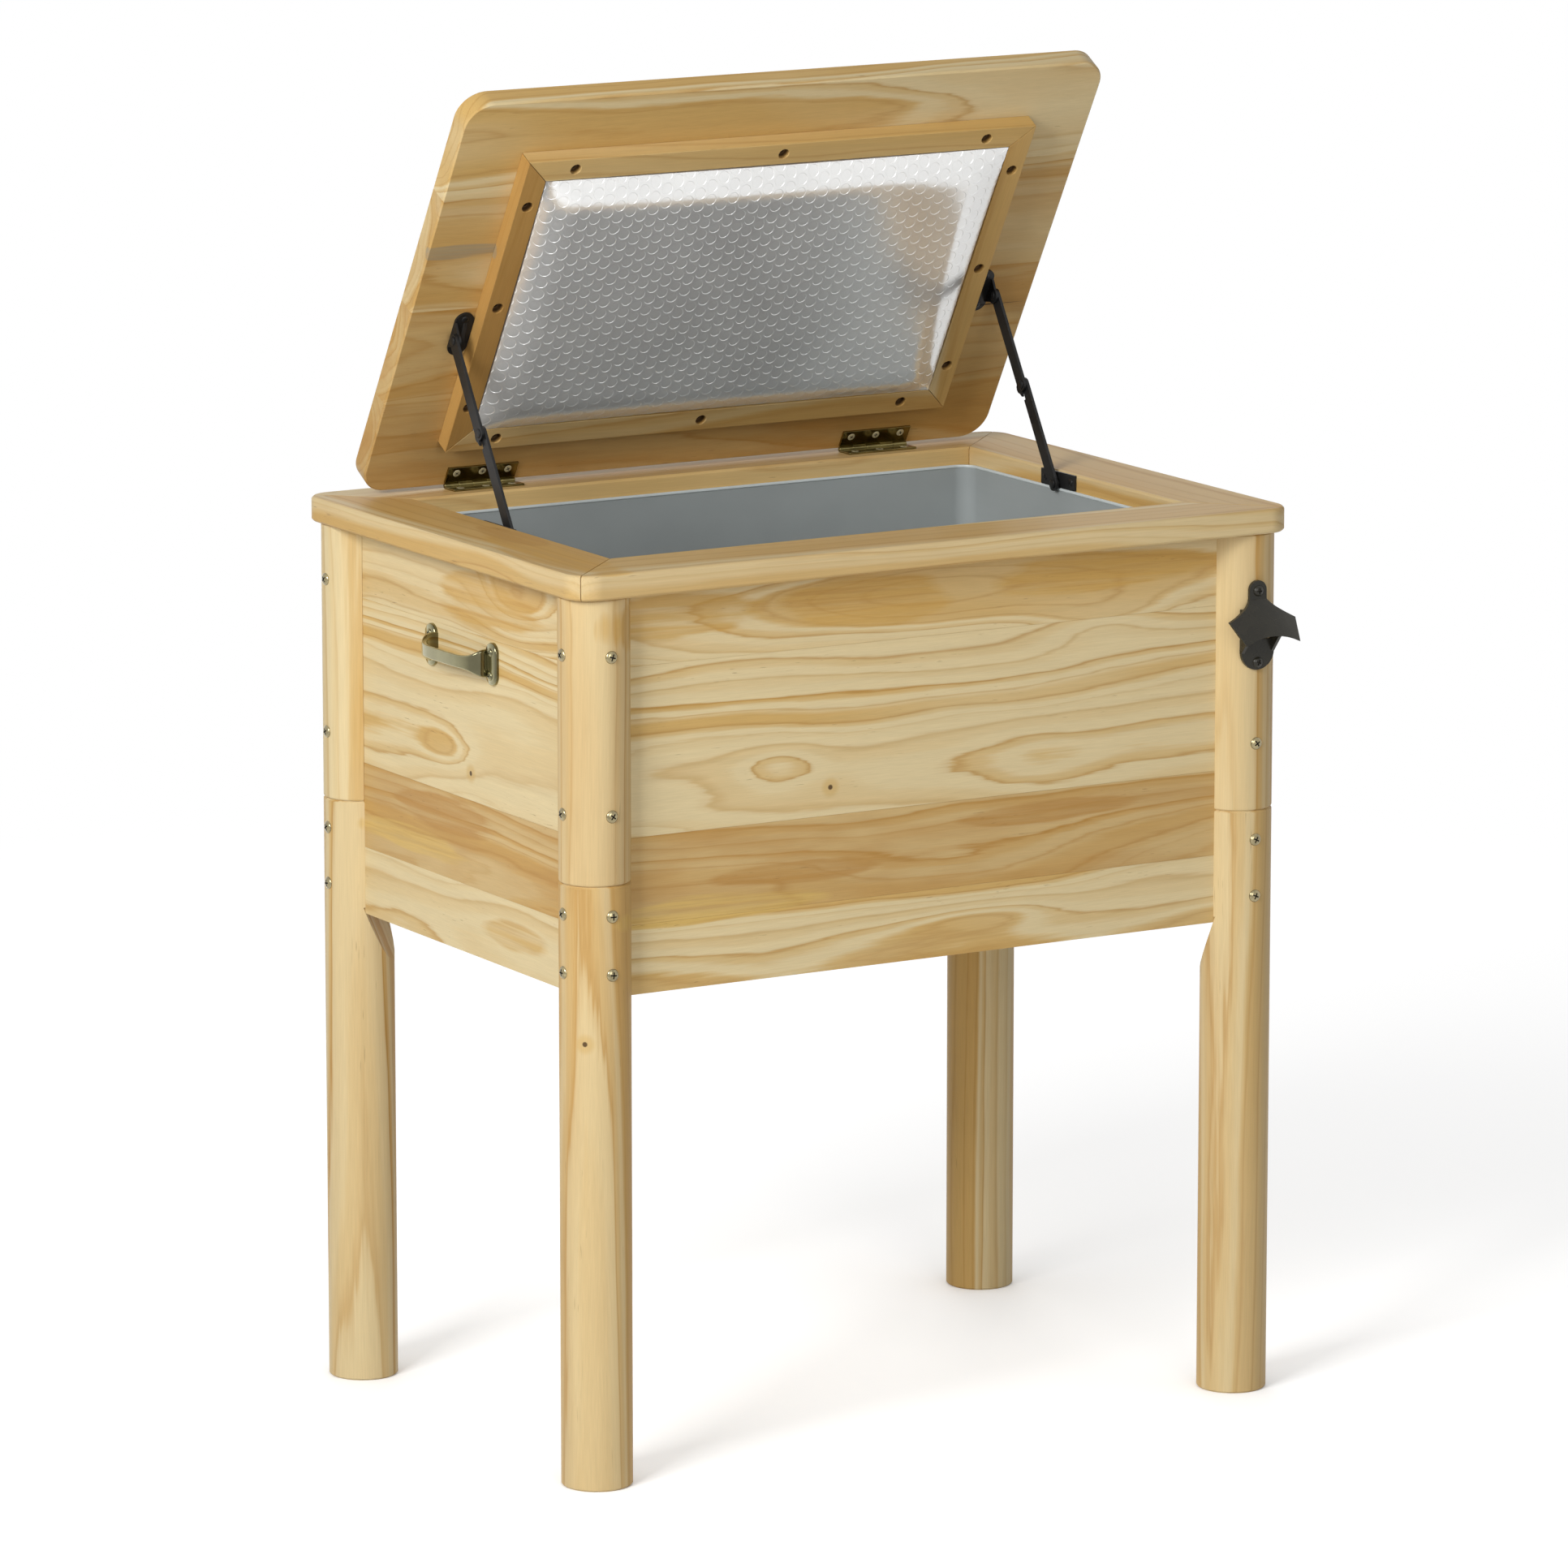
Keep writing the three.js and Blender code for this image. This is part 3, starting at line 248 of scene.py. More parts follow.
def pine_material():
    """Lacquered pine, coloured by the rings of the log that a board was sawn from."""
    pine, tree = blank_material("knotty_pine")

    def vector(operation, *values, output="Vector"):
        return vectors(tree, operation, *values, output=output)

    def number(operation, *values):
        return maths(tree, operation, *values)

    def times(value, *shares):
        for share in shares:
            value = number("MULTIPLY", value, share)
        return value

    def nearness(centre, reach):
        offset = vector("DIVIDE", vector("SUBTRACT", place, centre), reach)
        away = vector("DOT_PRODUCT", offset, offset, output="Value")
        return number("POWER", 2.718, times(away, -1.0))

    def noise(place, stretch, detail=2.0, output="Fac"):
        scaled = vector("MULTIPLY", place, stretch)
        return add_node(tree, "ShaderNodeTexNoise", {
            "Vector": scaled, "Scale": 1.0, "Detail": detail, "Roughness": 0.5}).outputs[output]

    def sway(scale, detail):
        return add_node(tree, "ShaderNodeTexNoise", {
            "W": times(radius, scale), "Scale": 1.0, "Detail": detail},
            noise_dimensions="1D").outputs["Fac"]

    def ramp(value, stops):
        made = add_node(tree, "ShaderNodeValToRGB", {0: value})
        elements = made.color_ramp.elements
        while len(elements) < len(stops):
            elements.new(0.5)
        for element, (at, level) in zip(elements, stops):
            element.position = at
            element.color = (level, level, level, 1)
        return made.outputs[0]

    def mix(share, a, b):
        return add_node(tree, "ShaderNodeMix", {0: share, 6: a, 7: b}, data_type="RGBA").outputs[2]

    grain = add_node(tree, "ShaderNodeAttribute", attribute_name="grain").outputs["Vector"]
    tone = add_node(tree, "ShaderNodeAttribute", attribute_name="tone").outputs["Fac"]
    place = own_place(tree)

    # The rings wander slowly along the log, tremble a little, and feather out along the fibres
    slow = vector("SUBTRACT", noise(grain, (1.9, 8.0, 8.0), 2.0, "Color"), (0.5, 0.5, 0.5))
    quick = vector("SUBTRACT", noise(grain, (9.0, 55.0, 55.0), 3.0, "Color"), (0.5, 0.5, 0.5))
    log_place = vector("ADD", grain, vector("MULTIPLY", slow, (0.0, 0.050, 0.050)))
    log_place = vector("ADD", log_place, vector("MULTIPLY", quick, (0.0, 0.0050, 0.0050)))
    radius = vector("LENGTH", vector("MULTIPLY", log_place, (0.0, 1.0, 1.0)), output="Value")
    feather = noise(grain, (9.0, 420.0, 420.0), 2.0)
    radius = number("MULTIPLY_ADD", feather, 0.0016, radius)
    for centre, reach, lift in ring_eyes:
        radius = number("MULTIPLY_ADD", nearness(centre, reach), -lift, radius)

    # Each ring starts pale, turns honey coloured and ends in a darker line. Whole groups of
    # rings are pale or honey, so that broad bands and arches show
    widths = sway(42.0, 1.0)
    rings = number("MULTIPLY_ADD", widths, 2.2, number("DIVIDE", radius, ring_spacing))
    phase = number("FRACT", rings)
    strength = add_node(tree, "ShaderNodeTexWhiteNoise", {
        "W": number("FLOOR", rings)}, noise_dimensions="1D").outputs["Value"]
    strength = number("MULTIPLY_ADD", number("POWER", strength, 1.6), 0.82, 0.16)
    band = ramp(sway(30.0, 0.0), [(0.52, 0.0), (0.56, 1.0)])
    patches = ramp(noise(grain, (2.2, 13.0, 13.0), 2.0), [(0.34, 0.45), (0.56, 1.0)])
    honey = times(ramp(phase, [
        (0.0, 0.0), (0.36, 0.05), (0.54, 0.66), (0.86, 1.0), (0.91, 0.10), (1.0, 0.0)]), strength)
    honey = number("MAXIMUM", honey, times(band, 0.80))
    honey = times(honey, patches)
    line = ramp(phase, [(0.0, 0.0), (0.72, 0.0), (0.84, 1.0), (0.91, 0.4), (1.0, 0.0)])
    line = times(line, number("POWER", strength, 0.8))
    base = mix(times(tone, 0.80), pine_pale, pine_tan)
    colour = mix(honey, base, mix(times(tone, 0.55), pine_honey, pine_smear))
    colour = mix(times(line, 0.62), colour, pine_line)
    blotch = ramp(noise(grain, (5.0, 26.0, 26.0), 3.0), [(0.46, 0.0), (0.66, 1.0)])
    colour = mix(times(blotch, tone, 0.62), colour, pine_smear)
    streaks = noise(grain, (4.0, 170.0, 170.0), 3.0)
    ragged = number("SUBTRACT", noise(grain, (7.0, 48.0, 48.0), 4.0), 0.5)
    ragged = number("MULTIPLY_ADD", honey, 0.34, times(ragged, 2.0))
    brushed = ramp(streaks, [(0.34, 0.35), (0.56, 1.0)])
    threads = ramp(noise(grain, (5.0, 240.0, 240.0), 2.0), [(0.50, 0.0), (0.62, 1.0)])
    for centre, reach, tint in stains:
        inside = times(number("ADD", ragged, 1.0), nearness(centre, reach))
        inside = times(ramp(inside, [(0.46, 0.0), (0.62, 1.0)]), brushed)
        colour = mix(times(inside, 0.72), colour, tint)
        colour = mix(times(inside, threads, 0.32), colour, pine_smear)

    # Fibres, resin specks, pin knots, and painted shade where a tone rises above 1
    fibres = noise(grain, (45.0, 1500.0, 1500.0), 3.0)
    shade = number("MULTIPLY_ADD", fibres, 0.22, 0.84)
    shade = number("MULTIPLY_ADD", streaks, 0.12, number("SUBTRACT", shade, 0.01))
    colour = shaded(tree, colour, shade)
    specks = ramp(noise(grain, (75.0, 1000.0, 1000.0), 1.0), [(0.70, 0.0), (0.78, 1.0)])
    where = ramp(noise(grain, (7.0, 45.0, 45.0), 1.0), [(0.54, 0.0), (0.66, 1.0)])
    colour = mix(times(specks, where, 0.55), colour, pine_speck)
    painted_tone_shade = number("MAXIMUM", number("SUBTRACT", tone, 1.0), 0.0)
    colour = mix(number("MINIMUM", painted_tone_shade, 0.92), colour, knot_and_shade_brown)
    for centre in pin_knots:
        away = vector("LENGTH", vector("SUBTRACT", place, centre), output="Value")
        halo = remap(tree, away, 0.42, 0.0, 0.0045, 0.0105, interpolation_type="SMOOTHSTEP")
        pin = remap(tree, away, 0.95, 0.0, 0.0016, 0.0027, interpolation_type="SMOOTHSTEP")
        colour = mix(halo, colour, pine_honey)
        colour = mix(pin, colour, knot_and_shade_brown)

    close_material(tree, {
        "Base Color": colour, "Roughness": number("MULTIPLY_ADD", fibres, 0.14, 0.36),
        "Specular IOR Level": 0.14, "Coat Weight": 0.02, "Coat Roughness": 0.18,
        "Normal": relief(tree, number("ADD", fibres, line), 0.35, 0.00012)})
    return pine


pine = pine_material()


def whole_faces(node, angle):
    """A copy of a solid's mesh, and its shape with loose triangles merged into whole faces."""
    mesh = cad[node].data.copy()
    mesh.name = node.replace("_", "-")
    mesh.materials.clear()
    shape = bmesh.new()
    shape.from_mesh(mesh)
    bmesh.ops.remove_doubles(shape, verts=shape.verts, dist=1e-6)
    bmesh.ops.dissolve_limit(
        shape, angle_limit=math.radians(angle), verts=shape.verts, edges=shape.edges)
    return mesh, shape


def dress_timber(node, along, pith, tone=0.0, tilt=0.0, arris=0.0007, breadth=1.0, calm=1.0):
    """A board or bar with its edges eased, from its solid. along is the way of the grain, pith
    a point in the middle of the log, and tilt how far the log leans from it."""
    mesh, shape = whole_faces(node, 1.0)
    log_layers(shape)
    add_grain(shape, shape.verts, along, pith, tone, tilt, breadth, calm)
    shape.to_mesh(mesh)
    shape.free()
    return finish_timber(mesh, arris, node)


def log_layers(shape):
    """The two layers for where a point lies in its log and how dark it is; above 1, painted shade.
    """
    layers = shape.verts.layers
    grain = layers.float_vector.get("grain") or layers.float_vector.new("grain")
    return grain, layers.float.get("tone") or layers.float.new("tone")


def add_grain(shape, verts, along, pith, tone, tilt, breadth=1.0, calm=1.0):
    """Writes where each point lies in its log: along it, and across it two ways. A breadth
    over 1 gives a log with wider rings, a calm under 1 one with straighter grain."""
    grain, tones = log_layers(shape)
    along = Vector(along).normalized()
    side = along.orthogonal().normalized()
    third = along.cross(side)
    pith = Vector(pith)
    for vert in verts:
        offset = vert.co - pith
        run = offset.dot(along)
        vert[grain] = (
            calm * run + 7.0 * pith.x + 3.0 * pith.z, (offset.dot(side) + tilt * run) / breadth,
            offset.dot(third) / breadth)
        vert[tones] = tone


def fit(piece, body, slot, *nodes):
    """Puts a finished piece on its body, in place of its nodes."""
    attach(piece, body)
    if nodes:
        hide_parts(*nodes)
    return piece


def finish(mesh, node, material, slot, arris, angle=35):
    """Gives a mesh its material, rounds its sharp edges a little, and puts it in place of its
    node, on the body that carries the node."""
    mesh.materials.append(material)
    for face in mesh.polygons:
        face.use_smooth = True
    piece = put(mesh.name, mesh)
    ease = piece.modifiers.new("eased_edges", "BEVEL")
    ease.width = arris
    ease.segments = 2
    ease.limit_method = "ANGLE"
    ease.angle_limit = math.radians(angle)
    piece.modifiers.new("even_shading", "WEIGHTED_NORMAL").keep_sharp = True
    bodies = frame["record"]["behaviour"]["bodies"]
    return fit(piece, next(body for body in bodies if node in bodies[body]), slot, node)


def finish_timber(mesh, arris, node):
    """Finishes a board or bar of pine."""
    return finish(mesh, node, pine, "pine", arris, angle=25)


# Legs and corner posts: round bars turned from solid pine, with the grain upright. A fine dark
# line shows where each post stands on its leg.
upright = (0, 0, 1)
bar_calm = 0.4
leg_logs = {
    "front_left": ((0.056, 0.034, 0.0), 0.40, 0.030, 1.25),
    "front_right": ((0.044, 0.030, 0.4), 0.24, -0.024, 1.15),
    "back_left": ((0.060, 0.066, 1.1), 0.15, 0.020, 1.20),
    "back_right": ((-0.046, 0.060, 1.9), 0.00, -0.024, 1.30)}
post_logs = {
    "front_left": ((0.070, 0.095, 0.5), 0.40, -0.020, 1.20),
    "front_right": ((0.085, 0.072, 0.3), 0.32, 0.010, 1.10),
    "back_left": ((0.060, 0.066, 1.4), 0.05, -0.020, 1.10),
    "back_right": ((-0.040, 0.030, 0.2), 0.05, 0.024, 1.20)}
for part, logs in (("leg", leg_logs), ("post", post_logs)):
    for corner, (step, tone, tilt, breadth) in logs.items():
        low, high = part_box(f"{corner}_{part}")
        dress_timber(f"{corner}_{part}", upright, (low + high) / 2 + Vector(step), tone=tone,
                     tilt=tilt, breadth=breadth, calm=bar_calm)

# Walls: four boards of different widths, glued edge to edge with fine joints. On the front and
# the left the second board from below is a darker one.
joint_heights = [0.414, 0.4725, 0.546, 0.689, 0.751]
board_arris = 0.00035


def new_mesh(name, shape):
    """The mesh of a closed shape, its faces turned outwards."""
    bmesh.ops.recalc_face_normals(shape, faces=shape.faces)
    mesh = bpy.data.meshes.new(name)
    shape.to_mesh(mesh)
    shape.free()
    return mesh


def lay_wall(node, along, logs):
    """A wall of boards stacked upwards, each from its own log: (pith place, tone, tilt)."""
    low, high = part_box(node)
    shape = bmesh.new()
    log_layers(shape)
    for bottom, top, (pith, tone, tilt) in zip(joint_heights, joint_heights[1:], logs):
        size = Vector((high.x - low.x, high.y - low.y, top - bottom))
        middle = Vector(((low.x + high.x) / 2, (low.y + high.y) / 2, (bottom + top) / 2))
        made = bmesh.ops.create_cube(
            shape, size=1.0, matrix=Matrix.Translation(middle) @ Matrix.Diagonal(size).to_4x4())
        place = Vector(pith) + middle * Vector((1, 1, 0))
        add_grain(shape, made["verts"], along, place, tone, tilt)
    finish_timber(new_mesh(node.replace("_", "-"), shape), board_arris, node)


lay_wall("front_wall", (1, 0, 0), [
    ((0.30, 0.062, 0.420), 0.00, -0.03), ((0.1, 0.075, 0.460), 0.85, 0.02),
    ((-0.2, 0.066, 0.585), 0.00, 0.01), ((0.2, 0.058, 0.722), 0.05, 0.03)])
lay_wall("left_wall", (0, -1, 0), [
    ((0.066, 0.3, 0.415), 0.00, -0.02), ((0.071, 0.2, 0.450), 0.80, 0.03),
    ((0.063, -0.2, 0.590), 0.00, 0.01), ((0.060, 0.1, 0.765), 0.10, 0.02)])
lay_wall("back_wall", (1, 0, 0), [
    ((1.30, -0.062, 0.440), 0.00, 0.02), ((1.1, -0.075, 0.500), 0.20, 0.02),
    ((1.2, -0.069, 0.640), 0.10, -0.01), ((1.6, -0.058, 0.740), 0.50, 0.01)])
lay_wall("right_wall", (0, -1, 0), [
    ((-0.066, 1.3, 0.405), 0.30, 0.02), ((-0.071, 1.2, 0.520), 0.00, 0.03),
    ((-0.063, 1.2, 0.630), 0.00, 0.01), ((-0.060, 1.1, 0.735), 0.15, 0.02)])
low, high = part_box("bottom_board")
dress_timber("bottom_board", (1, 0, 0), (low + high) / 2 + Vector((0.1, 0.03, 0.08)), tone=0.15)

# Rim: four planed rails, mitred at the corners, their edges rounded over by hand. Their logs
# have wide rings, so that long soft bands run along them.
rail_wood = {"tilt": 0.01, "breadth": 1.7, "calm": 0.6}
rail_arris = 0.0009
for node, along, pith, tone in (
        ("front_rail", (1, 0, 0), (0.4, -0.262, 0.718), 0.28),
        ("back_rail", (1, 0, 0), (1.4, 0.262, 0.725), 0.15),
        ("left_rail", (0, 1, 0), (-0.371, 0.3, 0.726), 0.32),
        ("right_rail", (0, 1, 0), (0.372, 1.3, 0.716), 0.38)):
    dress_timber(node, along, pith, tone=tone, arris=rail_arris, **rail_wood)

# Lid: one broad glued board. Under it a mitred frame of battens, screwed from below. Boards and
# battens are painted darker towards the hinge and on the left, and the counterbores of the screws
# near-black: painted shade.
batten_wood = {"tilt": 0.01, "breadth": 1.5, "calm": 0.6}
batten_arris = 0.0006
painted_counterbore_shade_tone = 2.6
painted_counterbore_shade_depth = (-0.0110, -0.0010)
lid_turn = Matrix.Rotation(math.radians(-60), 3, "X")
hinge_axis = Vector((0, 0.2154, 0.7748))
low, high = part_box("lid_board")
lid_middle = (low + high) / 2
lid_arris = 0.0009
lid_joints = [0.094, 0.192, 0.309]
# The tones are painted shade: they rise towards the hinge, so that the boards low on the open lid
# are darker
lid_logs = [
    ((0.2, -0.030, 0.060), 1.05, 0.03), ((-0.3, -0.150, 0.085), 1.00, -0.02),
    ((0.6, -0.235, 0.070), 0.55, 0.02), ((0.1, -0.365, 0.062), 0.08, -0.03)]


def glue_lid():
    """The lid as boards glued edge to edge, each with its own place in its own log."""
    mesh, shape = whole_faces("lid_board", 1.0)
    forward = lid_turn @ Vector((0, -1, 0))
    for joint in lid_joints:
        cut = bmesh.ops.bisect_plane(
            shape, geom=shape.verts[:] + shape.edges[:] + shape.faces[:],
            plane_co=hinge_axis + forward * joint, plane_no=forward)
        seam = [item for item in cut["geom_cut"] if isinstance(item, bmesh.types.BMEdge)]
        bmesh.ops.split_edges(shape, edges=seam)
    log_layers(shape)
    for face in shape.faces:
        run = (face.calc_center_median() - hinge_axis).dot(forward)
        board = sum(run > joint for joint in lid_joints)
        place, tone, tilt = lid_logs[board]
        pith = hinge_axis + lid_turn @ Vector(place)
        add_grain(shape, face.verts, lid_turn @ Vector((1, 0, 0)), pith, tone, tilt)
    shape.to_mesh(mesh)
    shape.free()
    finish_timber(mesh, lid_arris, "lid_board")


glue_lid()
# The battens' tones are painted shade too, darkest for the left batten and for the back one by the
# hinge
for node, along, shift, tone in (
        ("front_batten", (1, 0, 0), (0.5, -0.19, 0.05), 0.05),
        ("back_batten", (1, 0, 0), (0.9, 0.18, 0.06), 0.90),
        ("left_batten", (0, 1, 0), (-0.29, 0.4, 0.05), 1.10),
        ("right_batten", (0, 1, 0), (0.29, 0.7, 0.06), 0.30)):
    batten = dress_timber(node, lid_turn @ Vector(along), lid_middle + lid_turn @ Vector(shift),
                          tone=tone, arris=batten_arris, **batten_wood)
    # The walls of the counterbores are painted near-black: painted shade in the hollows
    for vert, item in zip(batten.data.vertices, batten.data.attributes["tone"].data):
        depth = (lid_turn.transposed() @ (vert.co - hinge_axis)).z
        if painted_counterbore_shade_depth[0] < depth < painted_counterbore_shade_depth[1]:
            item.value = painted_counterbore_shade_tone

# Screws: domed heads with a cross recess, one tree for every size. The inside of the recess is
# painted near-black, a painted shade. They sit at points that carry the way each head faces, and
# each is turned by a chance angle.
post_screw_heights = [0.703, 0.5706, 0.487, 0.438]
post_radius = 0.030
screw_sink = 0.0004
post_screw_head = (0.0110, 0.0026)
batten_screw_head = (0.0080, 0.0012)
recess_length_share = 0.52
recess_width_share = 0.11


def soft_noise(tree, scale, detail, roughness=0.5):
    """Even noise all through a piece, from 0 to 1."""
    return add_node(tree, "ShaderNodeTexNoise", {
        "Vector": own_place(tree), "Scale": scale, "Detail": detail,
        "Roughness": roughness}).outputs["Fac"]


def worn_metal(name, colour, roughness, mottle, scale, metallic=1.0, pit=0.00003, coat=0.0,
               rim=1.0, shine=0.5):
    """A metal whose colour and gloss vary in soft patches, over fine pits. Rim is how much
    paler it is painted where it turns away, a painted sheen, and shine the strength of its clear
    reflection."""
    made, tree = blank_material(name)
    patches = soft_noise(tree, scale, 3.0, 0.6)
    glance = add_node(tree, "ShaderNodeLayerWeight", {"Blend": 0.5}).outputs["Facing"]
    shade = maths(tree, "MULTIPLY", remap(tree, patches, 1.0 - mottle, 1.0 + mottle),
                  remap(tree, glance, 1.0, rim, 0.15, 0.85))
    close_material(tree, {
        "Base Color": shaded(tree, colour, shade), "Metallic": metallic,
        "Roughness": remap(tree, patches, roughness * 0.8, roughness * 1.2),
        "Specular IOR Level": shine, "Coat Weight": coat, "Coat Roughness": 0.12,
        "Normal": relief(tree, soft_noise(tree, scale * 9, 2.0), 0.5, pit)})
    return made


def geometry(tree, kind, inputs=None, **settings):
    """The first output of a node of a tree of geometry nodes."""
    return add_node(tree, "GeometryNode" + kind, inputs, **settings).outputs[0]


def growing_tree(name, inputs):
    """An empty tree of geometry nodes that grows a mesh from points, and what goes into it."""
    tree = bpy.data.node_groups.new(name, "GeometryNodeTree")
    for label, kind in {"Points": "Geometry", **inputs}.items():
        tree.interface.new_socket(label, in_out="INPUT", socket_type="NodeSocket" + kind)
    tree.interface.new_socket("Grown", in_out="OUTPUT", socket_type="NodeSocketGeometry")
    return tree, tree.nodes.new("NodeGroupInput").outputs


def screw_tree():
    """Geometry nodes: a screw head on every point, facing the way that the point says."""
    tree, given = growing_tree("screw_heads", {
        "Head Diameter": "Float", "Head Height": "Float", "Recess Length": "Float",
        "Recess Width": "Float", "Seed": "Int", "Metal": "Material", "Recess": "Material"})

    def triple(x, y, z):
        return add_node(tree, "ShaderNodeCombineXYZ", {0: x, 1: y, 2: z}).outputs[0]

    # A dome with a flat underside
    rise = given["Head Height"]
    half = maths(tree, "MULTIPLY", given["Head Diameter"], 0.5)
    ball = geometry(tree, "MeshUVSphere", {"Segments": 28, "Rings": 14, "Radius": 1.0})
    dome = geometry(tree, "Transform", {"Geometry": ball, "Scale": triple(half, half, rise)})
    spot = add_node(tree, "ShaderNodeSeparateXYZ", {0: geometry(tree, "InputPosition")}).outputs
    above = maths(tree, "MAXIMUM", spot[2], maths(tree, "MULTIPLY", rise, -0.25))
    flat = geometry(tree, "SetPosition", {
        "Geometry": dome, "Position": triple(spot[0], spot[1], above)})
    head = geometry(tree, "SetMaterial", {"Geometry": flat, "Material": given["Metal"]})

    # The cross recess, cut by two bars whose recess material paints its hollow near-black: painted
    # shade
    cut = add_node(tree, "GeometryNodeMeshBoolean", {
        "Mesh 1": head}, operation="DIFFERENCE", solver="EXACT")
    long_side, short_side = given["Recess Length"], given["Recess Width"]
    for width, depth in ((long_side, short_side), (short_side, long_side)):
        bar = geometry(tree, "MeshCube", {"Size": triple(width, depth, rise)})
        bar = geometry(tree, "Transform", {
            "Geometry": bar, "Translation": triple(0.0, 0.0, rise)})
        bar = geometry(tree, "SetMaterial", {"Geometry": bar, "Material": given["Recess"]})
        tree.links.new(bar, cut.inputs["Mesh 2"])

    way = geometry(tree, "InputNamedAttribute", {"Name": "way"}, data_type="FLOAT_VECTOR")
    facing = add_node(tree, "FunctionNodeAlignRotationToVector", {"Vector": way}, axis="Z")
    chance = add_node(tree, "FunctionNodeRandomValue", {
        2: 0.0, 3: 6.283, 8: given["Seed"]}, data_type="FLOAT").outputs[1]
    turned = add_node(tree, "FunctionNodeRotateRotation", {
        "Rotation": facing.outputs[0], "Rotate By": triple(0.0, 0.0, chance)},
        rotation_space="LOCAL")
    heads = geometry(tree, "InstanceOnPoints", {
        "Points": given["Points"], "Instance": cut.outputs[0], "Rotation": turned.outputs[0]})
    real = geometry(tree, "RealizeInstances", {"Geometry": heads})
    add_node(tree, "NodeGroupOutput", {0: real})
    return tree


screw_heads = screw_tree()
# The recess material is near-black: painted shade in the hollow of the cross
painted_recess_shade = worn_metal("screw_recess", (0.030, 0.026, 0.020), 0.55, 0.2, 300.0)
aged_brass = worn_metal("aged_screw_brass", (0.300, 0.250, 0.135), 0.20, 0.30, 220.0, coat=0.5)


def settle(piece):
    """Gives a piece the mesh that its modifiers make."""
    shown = piece.evaluated_get(bpy.context.evaluated_depsgraph_get())
    made = bpy.data.meshes.new_from_object(shown)
    made.name = piece.name
    piece.modifiers.clear()
    piece.data = made


def shade_smooth(mesh, angle):
    """Smooth shading, but for edges sharper than an angle."""
    for face in mesh.polygons:
        face.use_smooth = True
    mesh.set_sharp_from_angle(angle=math.radians(angle))


def grown(name, points, tree, values):
    """A plain mesh that a tree of geometry nodes grows from points: [place, way it faces]."""
    mesh = bpy.data.meshes.new(name)
    mesh.from_pydata([place for place, way in points], [], [])
    ways = mesh.attributes.new("way", "FLOAT_VECTOR", "POINT")
    for item, (place, way) in zip(ways.data, points):
        item.vector = way
    piece = put(name, mesh)
    maker = piece.modifiers.new(tree.name, "NODES")
    maker.node_group = tree
    for item in tree.interface.items_tree:
        if item.name in values:
            maker[item.identifier] = values[item.name]
    settle(piece)
    return piece


def place_screws(name, body, points, head, rise, metal, slot, nodes=(), seed=3):
    """The screws of one kind on one body, in place of their nodes."""
    piece = grown(name, points, screw_heads, {
        "Head Diameter": head, "Head Height": rise, "Recess Length": head * recess_length_share,
        "Recess Width": head * recess_width_share, "Seed": seed, "Metal": metal,
        "Recess": painted_recess_shade})
    shade_smooth(piece.data, 40)
    fit(piece, body, slot, *nodes)


post_screws = []
for side_x, width in (("left", -1), ("right", 1)):
    for side_y, depth in (("front", -1), ("back", 1)):
        low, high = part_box(f"{side_y}_{side_x}_leg")
        axis = (low + high) / 2
        out = post_radius - screw_sink
        for height in post_screw_heights:
            post_screws.append(((axis.x + width * out, axis.y, height), (width, 0, 0)))
            if (side_x, side_y, height) != ("right", "front", post_screw_heights[0]):
                post_screws.append(((axis.x, axis.y + depth * out, height), (0, depth, 0)))
place_screws("post_screws", "chest", post_screws, *post_screw_head, aged_brass, "handle_brass")


def on_lid(x, forward, under):
    """A place on the open lid, from X, the distance forward of the hinge pin, and the height
    above it when the lid is shut."""
    return hinge_axis + lid_turn @ Vector((x, -forward, under))


lid_down = lid_turn @ Vector((0, 0, -1))
counterbore_floor = -0.0050
batten_screws = [
    (on_lid(across, forward, counterbore_floor), lid_down)
    for columns, rows in (((-0.2016, 0.0, 0.2016), (0.0585, 0.3441)),
                          ((-0.2381, 0.2381), (0.0950, 0.2013, 0.3076)))
    for across in columns for forward in rows]
# These heads are the same near-black: painted shade at the bottom of the counterbores
place_screws("batten_screws", "lid", batten_screws, *batten_screw_head, painted_recess_shade,
             "handle_brass", seed=8)

# Hinges: two butt hinges of dark polished brass, folded from sheet round a pin. Each leaf is
# held by three flush screws, one leaf on the rim and one under the lid.
# The leaves are painted paler where the metal turns away: a painted sheen
hinge_metal = worn_metal(
    "dark_hinge_brass", (0.210, 0.172, 0.066), 0.20, 0.25, 90.0, coat=0.2, rim=1.7)
bright_brass = worn_metal(
    "rubbed_screw_brass", (0.620, 0.560, 0.370), 0.24, 0.15, 220.0, metallic=0.4, coat=0.2)
hinge_centres = {"left": -0.1968, "right": 0.1968}
hinge_screw_steps = (-0.025, 0.0, 0.025)
hinge_screw_forward = 0.0125
hinge_screw_head = (0.0070, 0.0004)
rim_leaf_level = -0.0025
lid_leaf_level = 0.0005
hinge_arris = 0.0003
pin_arris = 0.0002
hinge_length = 0.0685
leaf_depth = 0.0185
leaf_thickness = 0.0020
knuckle_radius = 0.0022
knuckle_gap = 0.0003
knuckle_sides = 28


def eased_copy(node, material, slot, arris):
    """A rigid piece as a copy of its solid with its edges eased, in place of the node."""
    mesh, shape = whole_faces(node, 0.5)
    shape.to_mesh(mesh)
    shape.free()
    finish(mesh, node, material, slot, arris)


def band_faces(shape, rings):
    """Faces between rings of corners, each ring closed on itself."""
    for one, two in zip(rings, rings[1:]):
        for step in range(len(one)):
            after = (step + 1) % len(one)
            shape.faces.new((one[step], one[after], two[after], two[step]))


